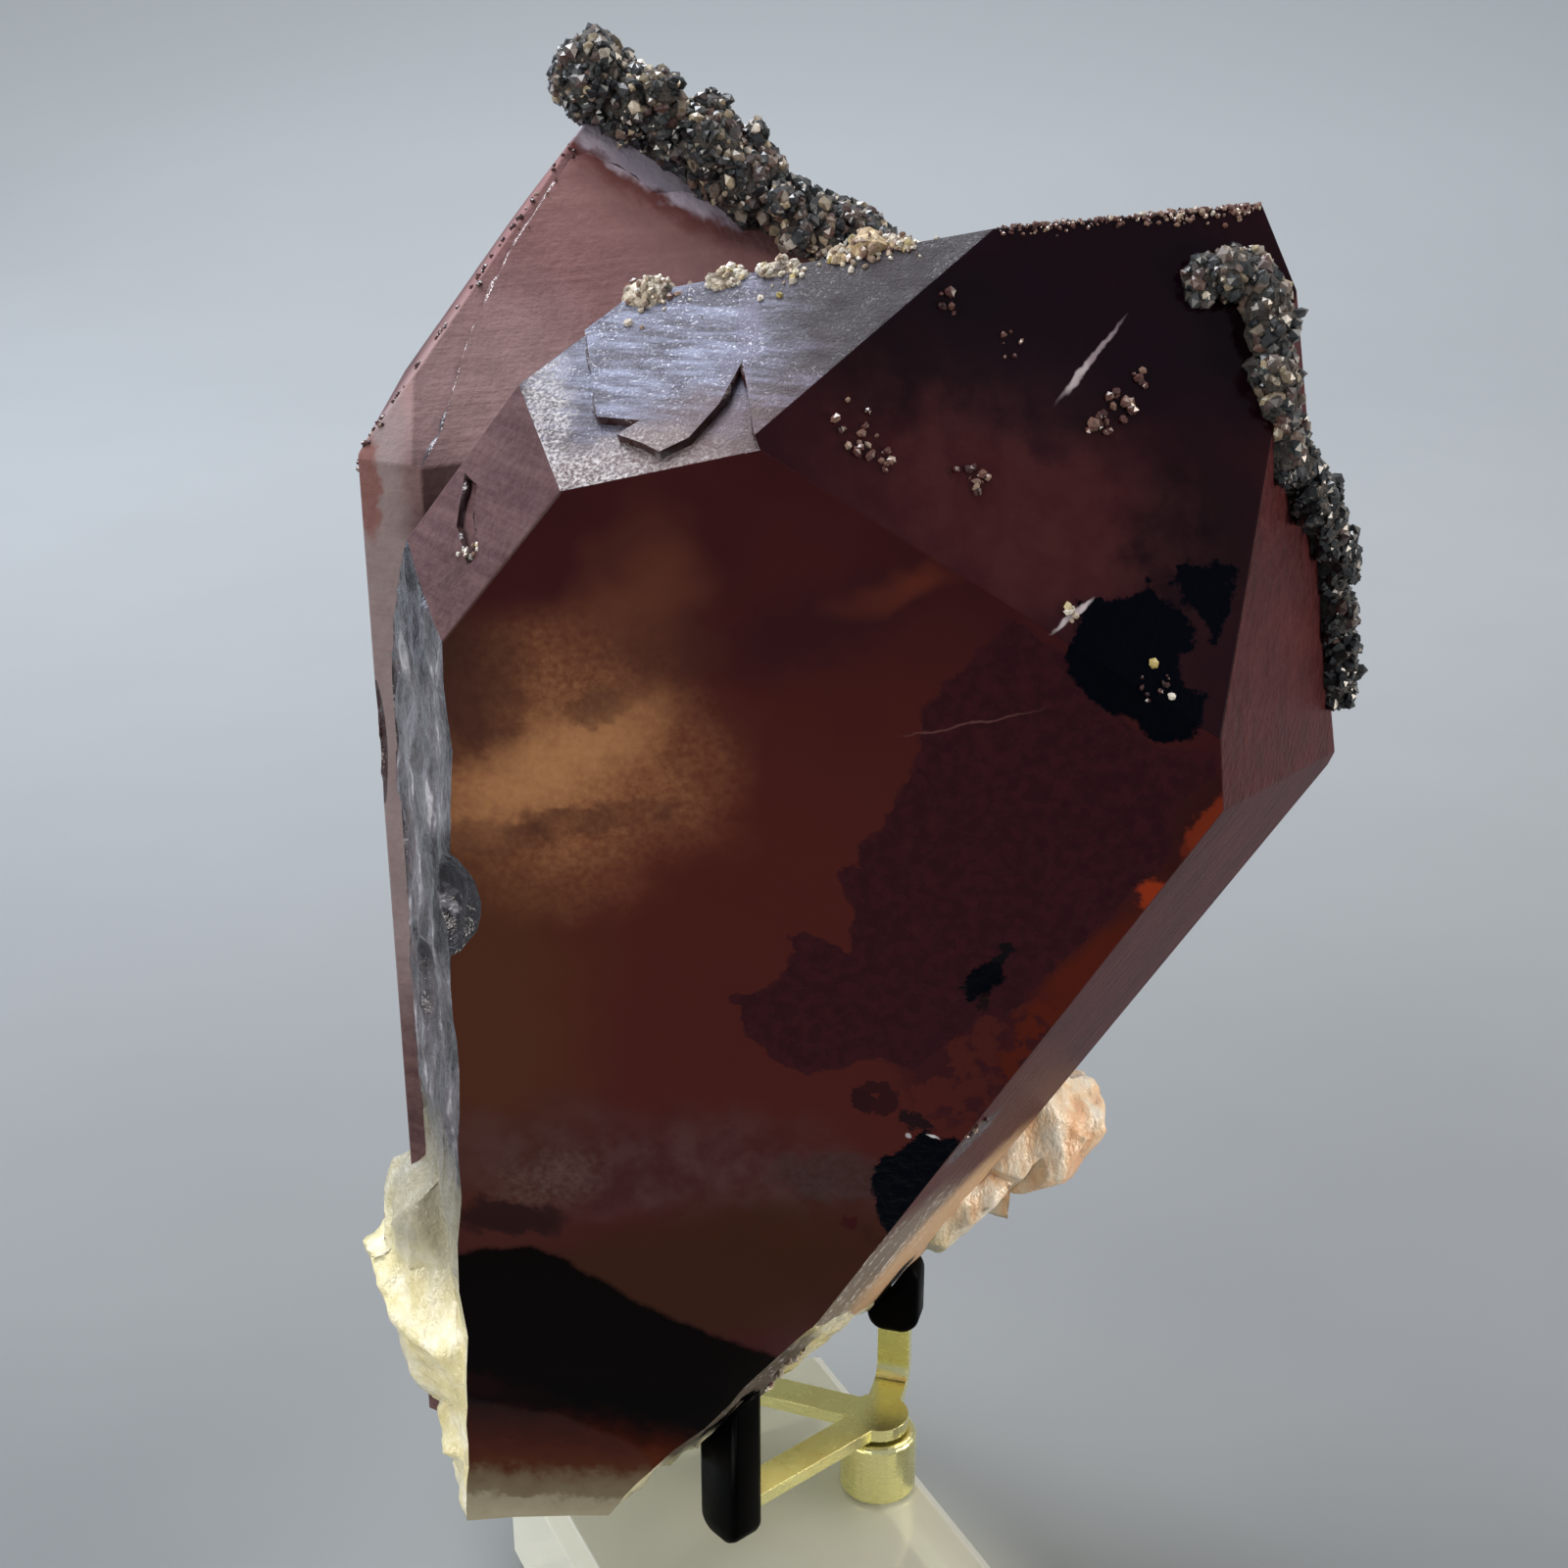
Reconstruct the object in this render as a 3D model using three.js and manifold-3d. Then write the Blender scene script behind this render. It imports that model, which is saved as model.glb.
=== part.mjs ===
// A hematite on quartz specimen held upright by a three-armed brass stand.
// Millimetres, +Z up. The origin is the centre of the acrylic base's underside, and the
// specimen is looked at along +Y.
import * as THREE from 'three';
import { mergeVertices } from 'three/addons/utils/BufferGeometryUtils.js';
import Module from 'manifold-3d';

const wasm = await Module();
wasm.setup();

// Driving dimensions

// Space left between two pieces that touch.
const GAP = 0.3;

// A quartz crystal is the space inside its faces. Each face is given by its turn about the
// crystal's own axis, the rise of its outward direction above square to that axis, and its
// reach from the crystal's centre. Prism faces have no rise, tip faces about 38 degrees.
const FRONT_CRYSTAL = {
  centre: [6, 14, 62],
  lean: 36,
  heading: -10,
  spin: -141,
  faces: {
    left: { turn: 359, rise: 2, reach: 40.5 },
    front: { turn: 61, rise: -1, reach: 21 },
    underside: { turn: 120, rise: 4, reach: 18 },
    right: { turn: 180, rise: 0, reach: 21 },
    back: { turn: 240, rise: 0, reach: 17 },
    upper: { turn: 300, rise: 1, reach: 26.5 },
    striatedTip: { turn: 2, rise: 37, reach: 42.6 },
    frontTip: { turn: 59, rise: 39, reach: 33 },
    undersideTip: { turn: 120, rise: 38, reach: 27 },
    contactTip: { turn: 180, rise: 49, reach: 30 },
    backTip: { turn: 240, rise: 38, reach: 29 },
    upperTip: { turn: 300, rise: 40, reach: 35.5 },
  },
};

const REAR_CRYSTAL = {
  centre: [-9, 24, 60],
  lean: 0,
  heading: 0,
  spin: -57,
  faces: {
    front: { turn: 0, rise: 0, reach: 8 },
    right: { turn: 60, rise: 0, reach: 15 },
    backRight: { turn: 120, rise: 0, reach: 17 },
    back: { turn: 180, rise: 0, reach: 18 },
    left: { turn: 240, rise: 0, reach: 18.5 },
    frontLeft: { turn: 300, rise: 0, reach: 22.5 },
    frontTip: { turn: 0, rise: 38, reach: 25 },
    backRightTip: { turn: 120, rise: 38, reach: 31.5 },
    leftTip: { turn: 240, rise: 38, reach: 33.5 },
    rightTip: { turn: 60, rise: 38, reach: 37 },
    backTip: { turn: 180, rise: 38, reach: 39 },
    frontLeftTip: { turn: 300, rise: 38, reach: 36.5 },
  },
};

// Where the quartz broke off: a point on each break, the way the break faces, its length and
// width, the grid that its conchoidal surface is built on, and how deep that surface waves.
const BREAKS = {
  leftOfFront: {
    at: [-22.9, 0, 50],
    facing: [-0.93, -0.37, 0],
    size: [60, 110],
    cells: [16, 28],
    depth: 0.4,
  },
  underFront: {
    at: [0, 3, 28.7],
    facing: [0.63, -0.52, -0.58],
    size: [46, 46],
    cells: [13, 13],
    depth: 0.5,
  },
  foot: {
    at: [-8, 12, 23.3],
    facing: [0.08, 0.35, -1],
    size: [84, 84],
    cells: [20, 20],
    depth: 0.6,
  },
};

// How far apart the waves of a broken surface are, and how thick a slab breaks away.
const BREAK_PITCH = 4;
const BREAK_THICKNESS = 60;

// Shell-shaped hollows along the left break and the dark cleft beside it, each a point and
// its half sizes.
const HOLLOWS = [
  { at: [-22.6, -9.0, 67.3], half: [4.8, 4.8, 5.4] },
  { at: [-24.6, -10.0, 77.0], half: [5.2, 4.6, 5.0] },
  { at: [-28.2, -1.5, 58.0], half: [6.6, 6.6, 8.5] },
  { at: [-27.4, -4.2, 47.0], half: [6.0, 6.0, 7.5] },
  { at: [-28.6, 0.6, 36.0], half: [6.4, 6.4, 8.0] },
  { at: [-27.2, 6.6, 72.0], half: [1.3, 2.0, 6.5] },
];

// How far inside the rear crystal's own faces the front crystal ends where they meet.
const CONTACT_INSET = 1.2;

// The pale broken root that both crystals grew from, as lumps with a place and half sizes.
const ROOT_LUMPS = [
  { at: [-21.3, 8.6, 28.6], half: [10.6, 9.2, 13.0], seed: 1 },
  { at: [-21.8, 9.0, 36.5], half: [7.6, 8.0, 12.0], seed: 2 },
  { at: [-20.5, 6.5, 22.5], half: [5.6, 8.0, 7], seed: 3 },
  { at: [2, 24, 32], half: [14, 9, 7.5], seed: 4 },
  { at: [14.2, 22.3, 36.6], half: [10.0, 7, 6.2], seed: 5 },
  { at: [9.5, 20.5, 31.5], half: [9.5, 7, 6.4], seed: 6 },
  { at: [-12, 26, 31], half: [14, 11, 8], seed: 7 },
];

// Flat chips broken off every lump of the root, and how far out from its centre the deepest
// and the shallowest chips reach, as a share of its half size.
const CHIPS = 26;
const CHIP_REACH = [0.66, 0.88];

// How far the surface of a lump swells in and out, as a share of its half size.
const ROUGHNESS = { hollow: 0.05, root: 0.1, ridge: 0.25 };

// The side of the uncut block that a crystal's faces are cut from.
const UNCUT_SIDE = 150;

// A thin growth layer missing from the striated face, seen as a rim with stepped edges. The
// outline runs along the lower edge from the left corner, then back up along the layer's edge.
const RIM_OUTLINE = [
  [-3, -1.5], [10.4, -1.5], [9.9, 0.3], [9.5, 6.3], [8.1, 3.3], [6.4, 1.2], [4.8, 0.6],
  [3.8, 1.6], [2.5, 2.6], [3.8, 3.3], [1.4, 4.3], [0.8, 11], [0.2, 13.5], [-4, 13.5],
];
const RIM_DEPTH = 0.55;

// The etched pit on the left prism face, from that face's own corner.
const PIT_OUTLINE = [[5.9, -6.6], [6.7, -5.4], [7.6, -2.2], [8.6, -2.6], [8.3, -5.8], [6.4, -8.4]];
const PIT_DEPTH = 0.45;

// The thin margin that is missing from the rear crystal's front tip face, from its apex down
// the left edge and along the ridge.
const MARGIN_OUTLINE = [
  [34, -2], [30.2, 3.4], [27.5, 3.2], [20.2, 1.4], [12.8, 0.6], [4.0, 0.5], [2.8, 1.2],
  [2.2, 4.0], [2.3, 6.3], [0.9, 7.6], [0.0, 9.1], [-0.4, 11.0], [-3, 12.0], [-3, -2],
];
const MARGIN_DEPTH = 0.4;

// Thin growth layers missing from two back faces of the rear crystal, each outline from the
// corner of the face with its tip face and the next prism face.
const LAYERS = {
  back: {
    next: 'left',
    outline: [
      [2.6, 4], [7, 2.6], [11.5, 5], [15.8, 3.6], [17.2, 16], [14.6, 15], [12.2, 19],
      [9.4, 15.6], [6.6, 22], [4.8, 18.4], [3.2, 12],
    ],
  },
  backRight: {
    next: 'back',
    outline: [
      [2.2, 20], [5, 17.8], [9.2, 21], [13.6, 19.4], [13, 29], [10.4, 27.6], [8.6, 33],
      [6, 30.2], [3.4, 31.6], [2.6, 26],
    ],
  },
};
const LAYER_DEPTH = 0.4;

// Small tan lumps that sit along the front crystal's upper ridge.
const RIDGE_LUMPS = [
  { at: [-8.3, 1.5, 100.9], half: [1.6, 1.3, 1.3], seed: 31 },
  { at: [-3.9, 1.1, 102.1], half: [1.2, 1.0, 0.7], seed: 32 },
  { at: [-1.0, 0.9, 102.6], half: [1.5, 0.9, 0.7], seed: 33 },
  { at: [2.2, 0.5, 103.3], half: [0.8, 0.8, 0.6], seed: 34 },
  { at: [3.8, 0.5, 103.9], half: [1.1, 1.0, 1.1], seed: 35 },
  { at: [5.6, 0.2, 104.1], half: [0.9, 0.8, 0.6], seed: 36 },
];

// Crusts of hematite and small quartz grains. Blobs follow the path in a chain, and others are
// strewn off it to one side, as far as the reach at the path's start and end. Smaller grains
// stand on the blobs within the width given for each point of the path.
const REAR_CRUST = {
  path: [
    [-13.4, 28.6, 111.0], [-10, 28.8, 109.2], [-6.1, 28.8, 106.6],
    [-2.2, 28.8, 103.6], [1.8, 29, 101.3], [4.8, 29.4, 100.0],
  ],
  width: [2.0, 2.4, 2.5, 2.8, 2.2, 1.6],
  across: [0.1, 0.85, -0.5],
  reach: [3.5, 5.5],
  blob: 2.5,
  chain: 18,
  strewn: 20,
  grain: 1.2,
  grains: 26,
  seed: 11,
};

const RIGHT_CRUST = {
  path: [
    [22.8, 2.0, 102.0], [24.6, 2.8, 102.2], [26.2, 2.7, 100.8], [26.6, 1.6, 98.6],
    [26.7, 0.8, 96], [27.2, 0.8, 93.4], [29.0, 3.0, 90.6], [31.5, 7.0, 87.4],
    [33.4, 10.2, 84], [34, 11.4, 81], [34.6, 12.2, 77.6], [35.4, 13.4, 73.8],
  ],
  width: [0.8, 1.0, 1.2, 1.5, 1.7, 1.7, 1.4, 1.2, 1.3, 1.5, 1.0, 0.7],
  across: [-0.33, 0.91, 0.23],
  reach: [0.8, 8.5],
  blob: 1.6,
  chain: 27,
  strewn: 26,
  grain: 0.9,
  grains: 14,
  seed: 23,
};

// The smallest and largest of a crust's blobs and grains, as a share of the size given for
// them, and how far each is set off its place.
const CHAIN_SPREAD = { size: [0.85, 1.2], offset: 0.15 };
const STREWN_SPREAD = { size: [1.15, 0.8], offset: 0.4 };
const GRAIN_SPREAD = { size: [0.7, 1.3] };

// The clear base is square cut with bevelled edges, its near end turned to the right.
const BASE = { width: 27, length: 46, height: 12, turn: 26, bevel: 1.2 };

const HUB = { at: [6.1, 9.7], radius: 2.8, bevel: 0.3 };
const ROUND_SIDES = 28;

// The cradle is one piece of flat strip on top of the hub. Each arm runs level from there to
// its foot, then turns straight up into a soft sleeve that the specimen rests on.
const STRIP = { width: 2.4, thickness: 1.0, bend: 1.2, level: 17.5, pad: 2.2 };
const ARMS = {
  front: { foot: [-4.6, 0.5], tip: 22.6, sleeve: [15.6, 29] },
  right: { foot: [7.45, 14.5], tip: 24.6, sleeve: [22.9, 29] },
  rear: { foot: [-12, 16.5], tip: 22.2, sleeve: [19.6, 27] },
};
const SLEEVE = { width: 3.9, thickness: 2.7, round: 0.5, corner: 0.87, settle: 0.6 };

const radians = THREE.MathUtils.degToRad;
const vector = ([x, y, z = 0]) => new THREE.Vector3(x, y, z);
const UP = new THREE.Vector3(0, 0, 1);
const between = ([low, high], share) => THREE.MathUtils.lerp(low, high, share);

// Solids and geometries

function toSolid(geometry) {
  const bare = geometry.clone();
  bare.deleteAttribute('normal');
  bare.deleteAttribute('uv');
  const merged = mergeVertices(bare, 1e-4);
  return new wasm.Manifold(new wasm.Mesh({
    numProp: 3,
    vertProperties: new Float32Array(merged.attributes.position.array),
    triVerts: new Uint32Array(merged.index.array),
  }));
}

function toGeometry(solid) {
  const mesh = solid.getMesh();
  const joined = new THREE.BufferGeometry();
  joined.setAttribute('position', new THREE.BufferAttribute(mesh.vertProperties, 3));
  joined.setIndex(new THREE.BufferAttribute(mesh.triVerts, 1));
  const geometry = joined.toNonIndexed();
  geometry.computeVertexNormals();
  return geometry;
}

// A repeatable row of numbers from 0 to 1.
function seededRandom(seed) {
  let state = seed * 7919 + 17;
  return () => {
    state = (state * 48271) % 2147483647;
    return state / 2147483647;
  };
}

// A smooth wave from -1 to 1 that never lines up with itself over a piece's length.
function wave(x, y, z, seed) {
  const a = Math.sin(1.7 * x + 0.9 * y + 2.3 * seed);
  const b = Math.sin(2.3 * y - 1.1 * z + 1.3 * seed);
  const c = Math.sin(1.9 * z + 1.3 * x + 0.7 * seed);
  return (a + b + c) / 3;
}

// A rounded lump whose surface swells in and out in broad and in finer waves.
function lump({ at, half, seed }, rough, detail = 2) {
  const geometry = new THREE.IcosahedronGeometry(1, detail);
  const points = geometry.attributes.position;
  for (let i = 0; i < points.count; i += 1) {
    const p = new THREE.Vector3().fromBufferAttribute(points, i);
    const broad = wave(2 * p.x, 2 * p.y, 2 * p.z, seed);
    const fine = wave(5 * p.x, 5 * p.y, 5 * p.z, seed);
    const swell = 1 + rough * (broad + 0.4 * fine);
    points.setXYZ(i, p.x * swell * half[0], p.y * swell * half[1], p.z * swell * half[2]);
  }
  return toSolid(geometry.translate(...at));
}

// A lump of broken quartz, chipped flat on many sides.
function brokenBlock(block) {
  const { at, half, seed } = block;
  const random = seededRandom(seed);
  let solid = lump(block, ROUGHNESS.root);
  for (let i = 0; i < CHIPS; i += 1) {
    const way = new THREE.Vector3(random() - 0.5, random() - 0.5, random() - 0.5).normalize();
    const level = between(CHIP_REACH, random());
    const slope = new THREE.Vector3(way.x / half[0], way.y / half[1], way.z / half[2]);
    const offset = level / slope.length();
    slope.normalize();
    solid = solid.trimByPlane([-slope.x, -slope.y, -slope.z], -offset - slope.dot(vector(at)));
  }
  return solid;
}

// A small many-sided grain, stretched and turned at random.
function grain(at, radius, random) {
  const geometry = new THREE.IcosahedronGeometry(radius, 0);
  const stretch = () => between([0.8, 1.2], random());
  geometry.scale(stretch(), stretch(), stretch());
  geometry.rotateX(2 * Math.PI * random());
  geometry.rotateZ(2 * Math.PI * random());
  return toSolid(geometry.translate(...at));
}

// The largest of the separate closed bodies that a solid is made of.
function largestBody(solid) {
  const { vertProperties, triVerts } = solid.getMesh();
  const root = Array.from({ length: vertProperties.length / 3 }, (_, i) => i);
  const find = (i) => {
    while (root[i] !== i) {
      root[i] = root[root[i]];
      i = root[i];
    }
    return i;
  };
  for (let t = 0; t < triVerts.length; t += 3) {
    root[find(triVerts[t + 1])] = find(triVerts[t]);
    root[find(triVerts[t + 2])] = find(triVerts[t]);
  }
  const bodies = new Map();
  for (let t = 0; t < triVerts.length; t += 3) {
    const body = find(triVerts[t]);
    bodies.set(body, [...(bodies.get(body) ?? []), ...triVerts.slice(t, t + 3)]);
  }
  const largest = [...bodies.values()].sort((a, b) => b.length - a.length)[0];
  const geometry = new THREE.BufferGeometry();
  geometry.setAttribute('position', new THREE.BufferAttribute(vertProperties, 3));
  geometry.setIndex(largest);
  const faceted = geometry.toNonIndexed();
  faceted.computeVertexNormals();
  return faceted;
}

// Crystals

// The turn that takes a crystal's own axes to the specimen's.
function crystalTurn({ lean, heading, spin }) {
  const first = new THREE.Quaternion().setFromAxisAngle(UP, radians(spin));
  const second = new THREE.Quaternion().setFromAxisAngle(new THREE.Vector3(0, 1, 0), radians(lean));
  const third = new THREE.Quaternion().setFromAxisAngle(UP, radians(heading));
  return third.multiply(second).multiply(first);
}

function facePlane(crystal, name, grow = 0) {
  const { turn, rise, reach } = crystal.faces[name];
  const normal = new THREE.Vector3(
    Math.cos(radians(rise)) * Math.cos(radians(turn)),
    Math.cos(radians(rise)) * Math.sin(radians(turn)),
    Math.sin(radians(rise)),
  ).applyQuaternion(crystalTurn(crystal));
  return { normal, offset: normal.dot(vector(crystal.centre)) + reach + grow };
}

function crystalSolid(crystal, grow = 0) {
  const uncut = new THREE.BoxGeometry(UNCUT_SIDE, UNCUT_SIDE, UNCUT_SIDE);
  let solid = toSolid(uncut.translate(...crystal.centre));
  for (const name of Object.keys(crystal.faces)) {
    const { normal, offset } = facePlane(crystal, name, grow);
    solid = solid.trimByPlane([-normal.x, -normal.y, -normal.z], -offset);
  }
  return solid;
}

// The corner where three faces of a crystal meet.
function corner(crystal, names) {
  const [a, b, c] = names.map((name) => facePlane(crystal, name));
  const bc = b.normal.clone().cross(c.normal);
  const ca = c.normal.clone().cross(a.normal);
  const ab = a.normal.clone().cross(b.normal);
  return bc.clone().multiplyScalar(a.offset)
    .add(ca.multiplyScalar(b.offset))
    .add(ab.multiplyScalar(c.offset))
    .divideScalar(a.normal.dot(bc));
}

// A prism cut into a face: its outline starts from the corner of the face with two others, with
// its first axis along the edge that the face shares with the first of them.
function faceRecess(crystal, [face, along, other], outline, depth) {
  const { normal } = facePlane(crystal, face);
  const origin = corner(crystal, [face, along, other]);
  const first = facePlane(crystal, along).normal.clone().cross(normal).normalize();
  const away = facePlane(crystal, other).normal;
  if (first.dot(away) > 0) {
    first.negate();
  }
  const second = normal.clone().cross(first);
  const shape = new THREE.Shape(outline.map(([x, y]) => new THREE.Vector2(x, y)));
  const geometry = new THREE.ExtrudeGeometry(shape, { depth: depth + 3, bevelEnabled: false });
  geometry.translate(0, 0, -depth);
  geometry.applyMatrix4(new THREE.Matrix4().makeBasis(first, second, normal).setPosition(origin));
  return toSolid(geometry);
}

// A thick slab whose inner side waves, cut from the quartz to leave a broken surface.
function breakSlab({ at, facing, size, cells, depth }, seed) {
  const geometry = new THREE.BoxGeometry(...size, BREAK_THICKNESS, ...cells, 1);
  geometry.translate(0, 0, BREAK_THICKNESS / 2);
  const points = geometry.attributes.position;
  for (let i = 0; i < points.count; i += 1) {
    if (points.getZ(i) < BREAK_THICKNESS / 2) {
      const x = points.getX(i) / BREAK_PITCH;
      const y = points.getY(i) / BREAK_PITCH;
      points.setZ(i, depth * (wave(x, y, 0, seed) + 0.5 * wave(2.7 * x, 2.3 * y, 1, seed)));
    }
  }
  const normal = vector(facing).normalize();
  const side = UP.clone().cross(normal);
  if (side.length() < 0.3) {
    side.set(1, 0, 0).addScaledVector(normal, -normal.x);
  }
  side.normalize();
  const top = normal.clone().cross(side);
  geometry.applyMatrix4(new THREE.Matrix4().makeBasis(side, top, normal).setPosition(vector(at)));
  return toSolid(geometry);
}

function quartzCrystals() {
  const rim = faceRecess(FRONT_CRYSTAL, ['striatedTip', 'front', 'left'], RIM_OUTLINE, RIM_DEPTH);
  const pit = faceRecess(FRONT_CRYSTAL, ['left', 'front', 'striatedTip'], PIT_OUTLINE, PIT_DEPTH);
  const margin = faceRecess(
    REAR_CRYSTAL,
    ['frontTip', 'leftTip', 'backRightTip'],
    MARGIN_OUTLINE,
    MARGIN_DEPTH,
  );
  let front = crystalSolid(FRONT_CRYSTAL).subtract(rim).subtract(pit);
  for (const name of ['left', 'back']) {
    const { normal, offset } = facePlane(REAR_CRYSTAL, name, -CONTACT_INSET);
    front = front.trimByPlane([-normal.x, -normal.y, -normal.z], -offset);
  }
  front = front.subtract(breakSlab(BREAKS.leftOfFront, 1));
  let rear = crystalSolid(REAR_CRYSTAL).subtract(margin);
  for (const [face, { next, outline }] of Object.entries(LAYERS)) {
    const faces = [face, `${face}Tip`, next];
    rear = rear.subtract(faceRecess(REAR_CRYSTAL, faces, outline, LAYER_DEPTH));
  }
  let whole = front.add(rear);
  HOLLOWS.forEach(({ at, half }, i) => {
    whole = whole.subtract(lump({ at, half, seed: i + 1 }, ROUGHNESS.hollow));
  });
  for (const block of ROOT_LUMPS) {
    whole = whole.add(brokenBlock(block));
  }
  for (const ridge of RIDGE_LUMPS) {
    whole = whole.add(lump(ridge, ROUGHNESS.ridge, 1));
  }
  return whole
    .subtract(breakSlab(BREAKS.underFront, 2))
    .subtract(breakSlab(BREAKS.foot, 3));
}

// A crust of blobs and grains along a path, fitted over both crystals.
function crust({ path, width, across, reach, blob, chain, strewn, grain: small, grains, seed }) {
  const random = seededRandom(seed);
  const curve = new THREE.CatmullRomCurve3(path.map(vector));
  const someWay = () => new THREE.Vector3(random() - 0.5, random() - 0.5, random() - 0.5);
  const widthAt = (t) => {
    const before = Math.min(Math.floor(t * (width.length - 1)), width.length - 2);
    return between(width.slice(before), t * (width.length - 1) - before);
  };
  const pieces = [];
  const drop = (t, aside, offset, radius) => {
    const at = curve.getPointAt(t).addScaledVector(vector(across), aside);
    at.add(someWay().setLength(offset));
    pieces.push(grain(at.toArray(), radius, random));
  };
  for (let i = 0; i < chain; i += 1) {
    drop(i / (chain - 1), 0, CHAIN_SPREAD.offset, blob * between(CHAIN_SPREAD.size, random()));
  }
  for (let i = 0; i < strewn; i += 1) {
    const t = (i + random()) / strewn;
    const share = random();
    const aside = share * between(reach, t);
    drop(t, aside, STREWN_SPREAD.offset, blob * between(STREWN_SPREAD.size, share));
  }
  for (let i = 0; i < grains; i += 1) {
    const t = (i + random()) / grains;
    drop(t, 0, widthAt(t), small * between(GRAIN_SPREAD.size, random()));
  }
  const whole = pieces.reduce((all, one) => all.add(one))
    .subtract(crystalSolid(FRONT_CRYSTAL, GAP))
    .subtract(crystalSolid(REAR_CRYSTAL, GAP));
  return largestBody(whole);
}

// Stand

function acrylicBase() {
  const { width, length, height, bevel } = BASE;
  const shape = new THREE.Shape([
    new THREE.Vector2(-width / 2 + bevel, -length / 2 + bevel),
    new THREE.Vector2(width / 2 - bevel, -length / 2 + bevel),
    new THREE.Vector2(width / 2 - bevel, length / 2 - bevel),
    new THREE.Vector2(-width / 2 + bevel, length / 2 - bevel),
  ]);
  const geometry = new THREE.ExtrudeGeometry(shape, {
    depth: height - 2 * bevel,
    bevelThickness: bevel,
    bevelSize: bevel,
    bevelSegments: 1,
  });
  return geometry.translate(0, 0, bevel);
}

function brassHub() {
  const { radius, bevel } = HUB;
  const foot = BASE.height + GAP;
  const top = STRIP.level - GAP;
  const profile = [
    [0, foot],
    [radius, foot],
    [radius, top - bevel],
    [radius - bevel, top],
    [0, top],
  ];
  const points = profile.map(([x, y]) => new THREE.Vector2(x, y));
  return new THREE.LatheGeometry(points, ROUND_SIDES).rotateX(Math.PI / 2);
}

// The side view of an arm, along its run and upwards, made wider all round by grow.
function armOutline(run, tip, grow = 0) {
  const { thickness, bend, level } = STRIP;
  const inner = bend - grow;
  const outer = bend + thickness + grow;
  const near = run - thickness / 2 - grow;
  const far = run + thickness / 2 + grow;
  const low = level - grow;
  const high = level + thickness + grow;
  const shape = new THREE.Shape();
  shape.moveTo(0, low);
  shape.lineTo(far - outer, low);
  shape.absarc(far - outer, low + outer, outer, -Math.PI / 2, 0, false);
  shape.lineTo(far, tip + grow);
  shape.lineTo(near, tip + grow);
  shape.lineTo(near, high + inner);
  shape.absarc(near - inner, high + inner, inner, 0, -Math.PI / 2, true);
  shape.lineTo(0, high);
  return shape;
}

function armPlace({ foot }) {
  const way = vector(foot).sub(vector(HUB.at));
  return { run: way.length(), heading: Math.atan2(way.y, way.x) };
}

// Turns a side view drawn along +X and up +Y into a solid centred on its own plane.
function standUp(geometry, depth, heading, [x, y]) {
  geometry.translate(0, 0, -depth / 2);
  geometry.rotateX(Math.PI / 2);
  geometry.rotateZ(heading);
  return geometry.translate(x, y, 0);
}

function armSolid(arm, grow = 0) {
  const { run, heading } = armPlace(arm);
  const depth = STRIP.width + 2 * grow;
  const geometry = new THREE.ExtrudeGeometry(armOutline(run, arm.tip, grow), {
    depth,
    bevelEnabled: false,
    curveSegments: 5,
  });
  return toSolid(standUp(geometry, depth, heading, HUB.at));
}

function brassCradle() {
  const pad = new THREE.CylinderGeometry(STRIP.pad, STRIP.pad, STRIP.thickness, ROUND_SIDES);
  pad.rotateX(Math.PI / 2);
  pad.translate(...HUB.at, STRIP.level + STRIP.thickness / 2);
  return Object.values(ARMS).reduce((whole, arm) => whole.add(armSolid(arm)), toSolid(pad));
}

// A soft cap over an arm's end: a rounded block with a pocket in the arm's own shape, pressed
// to the form of the quartz that it carries.
function rubberSleeve(arm, load) {
  const { width, thickness, round, corner: ease } = SLEEVE;
  const [low, high] = arm.sleeve;
  const { heading } = armPlace(arm);
  const side = width / 2 - round - ease;
  const bottom = low + round + ease;
  const top = high - round - ease;
  const shape = new THREE.Shape();
  shape.absarc(-side, top, ease, Math.PI / 2, Math.PI, false);
  shape.absarc(-side, bottom, ease, Math.PI, 1.5 * Math.PI, false);
  shape.absarc(side, bottom, ease, 1.5 * Math.PI, 2 * Math.PI, false);
  shape.absarc(side, top, ease, 0, Math.PI / 2, false);
  const geometry = new THREE.ExtrudeGeometry(shape, {
    depth: thickness - 2 * round,
    bevelThickness: round,
    bevelSize: round,
    bevelSegments: 2,
    curveSegments: 4,
  });
  geometry.translate(0, 0, round);
  const block = toSolid(standUp(geometry, thickness, heading + Math.PI / 2, arm.foot));
  const settled = toSolid(toGeometry(load).translate(0, 0, -SLEEVE.settle));
  return block.subtract(armSolid(arm, GAP)).subtract(settled);
}

// The whole object

const finishes = {
  quartz: { color: 0x43201a, roughness: 0.25, metalness: 0 },
  crust: { color: 0x2b2a2c, roughness: 0.6, metalness: 0.2 },
  acrylic: { color: 0xe6ead9, roughness: 0.15, metalness: 0 },
  brass: { color: 0xb9a85a, roughness: 0.3, metalness: 1 },
  rubber: { color: 0x0a0c0e, roughness: 0.7, metalness: 0 },
};

const object = new THREE.Group();

function addPiece(name, geometry, finish, parent = object) {
  const mesh = new THREE.Mesh(geometry, new THREE.MeshStandardMaterial(finishes[finish]));
  mesh.name = name;
  parent.add(mesh);
  return mesh;
}

const specimen = new THREE.Group();
const quartz = quartzCrystals();
addPiece('quartz_crystals', toGeometry(quartz), 'quartz', specimen);
addPiece('hematite_crust_rear_ridge', crust(REAR_CRUST), 'crust', specimen);
addPiece('hematite_crust_right_edge', crust(RIGHT_CRUST), 'crust', specimen);
object.add(specimen);

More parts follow.
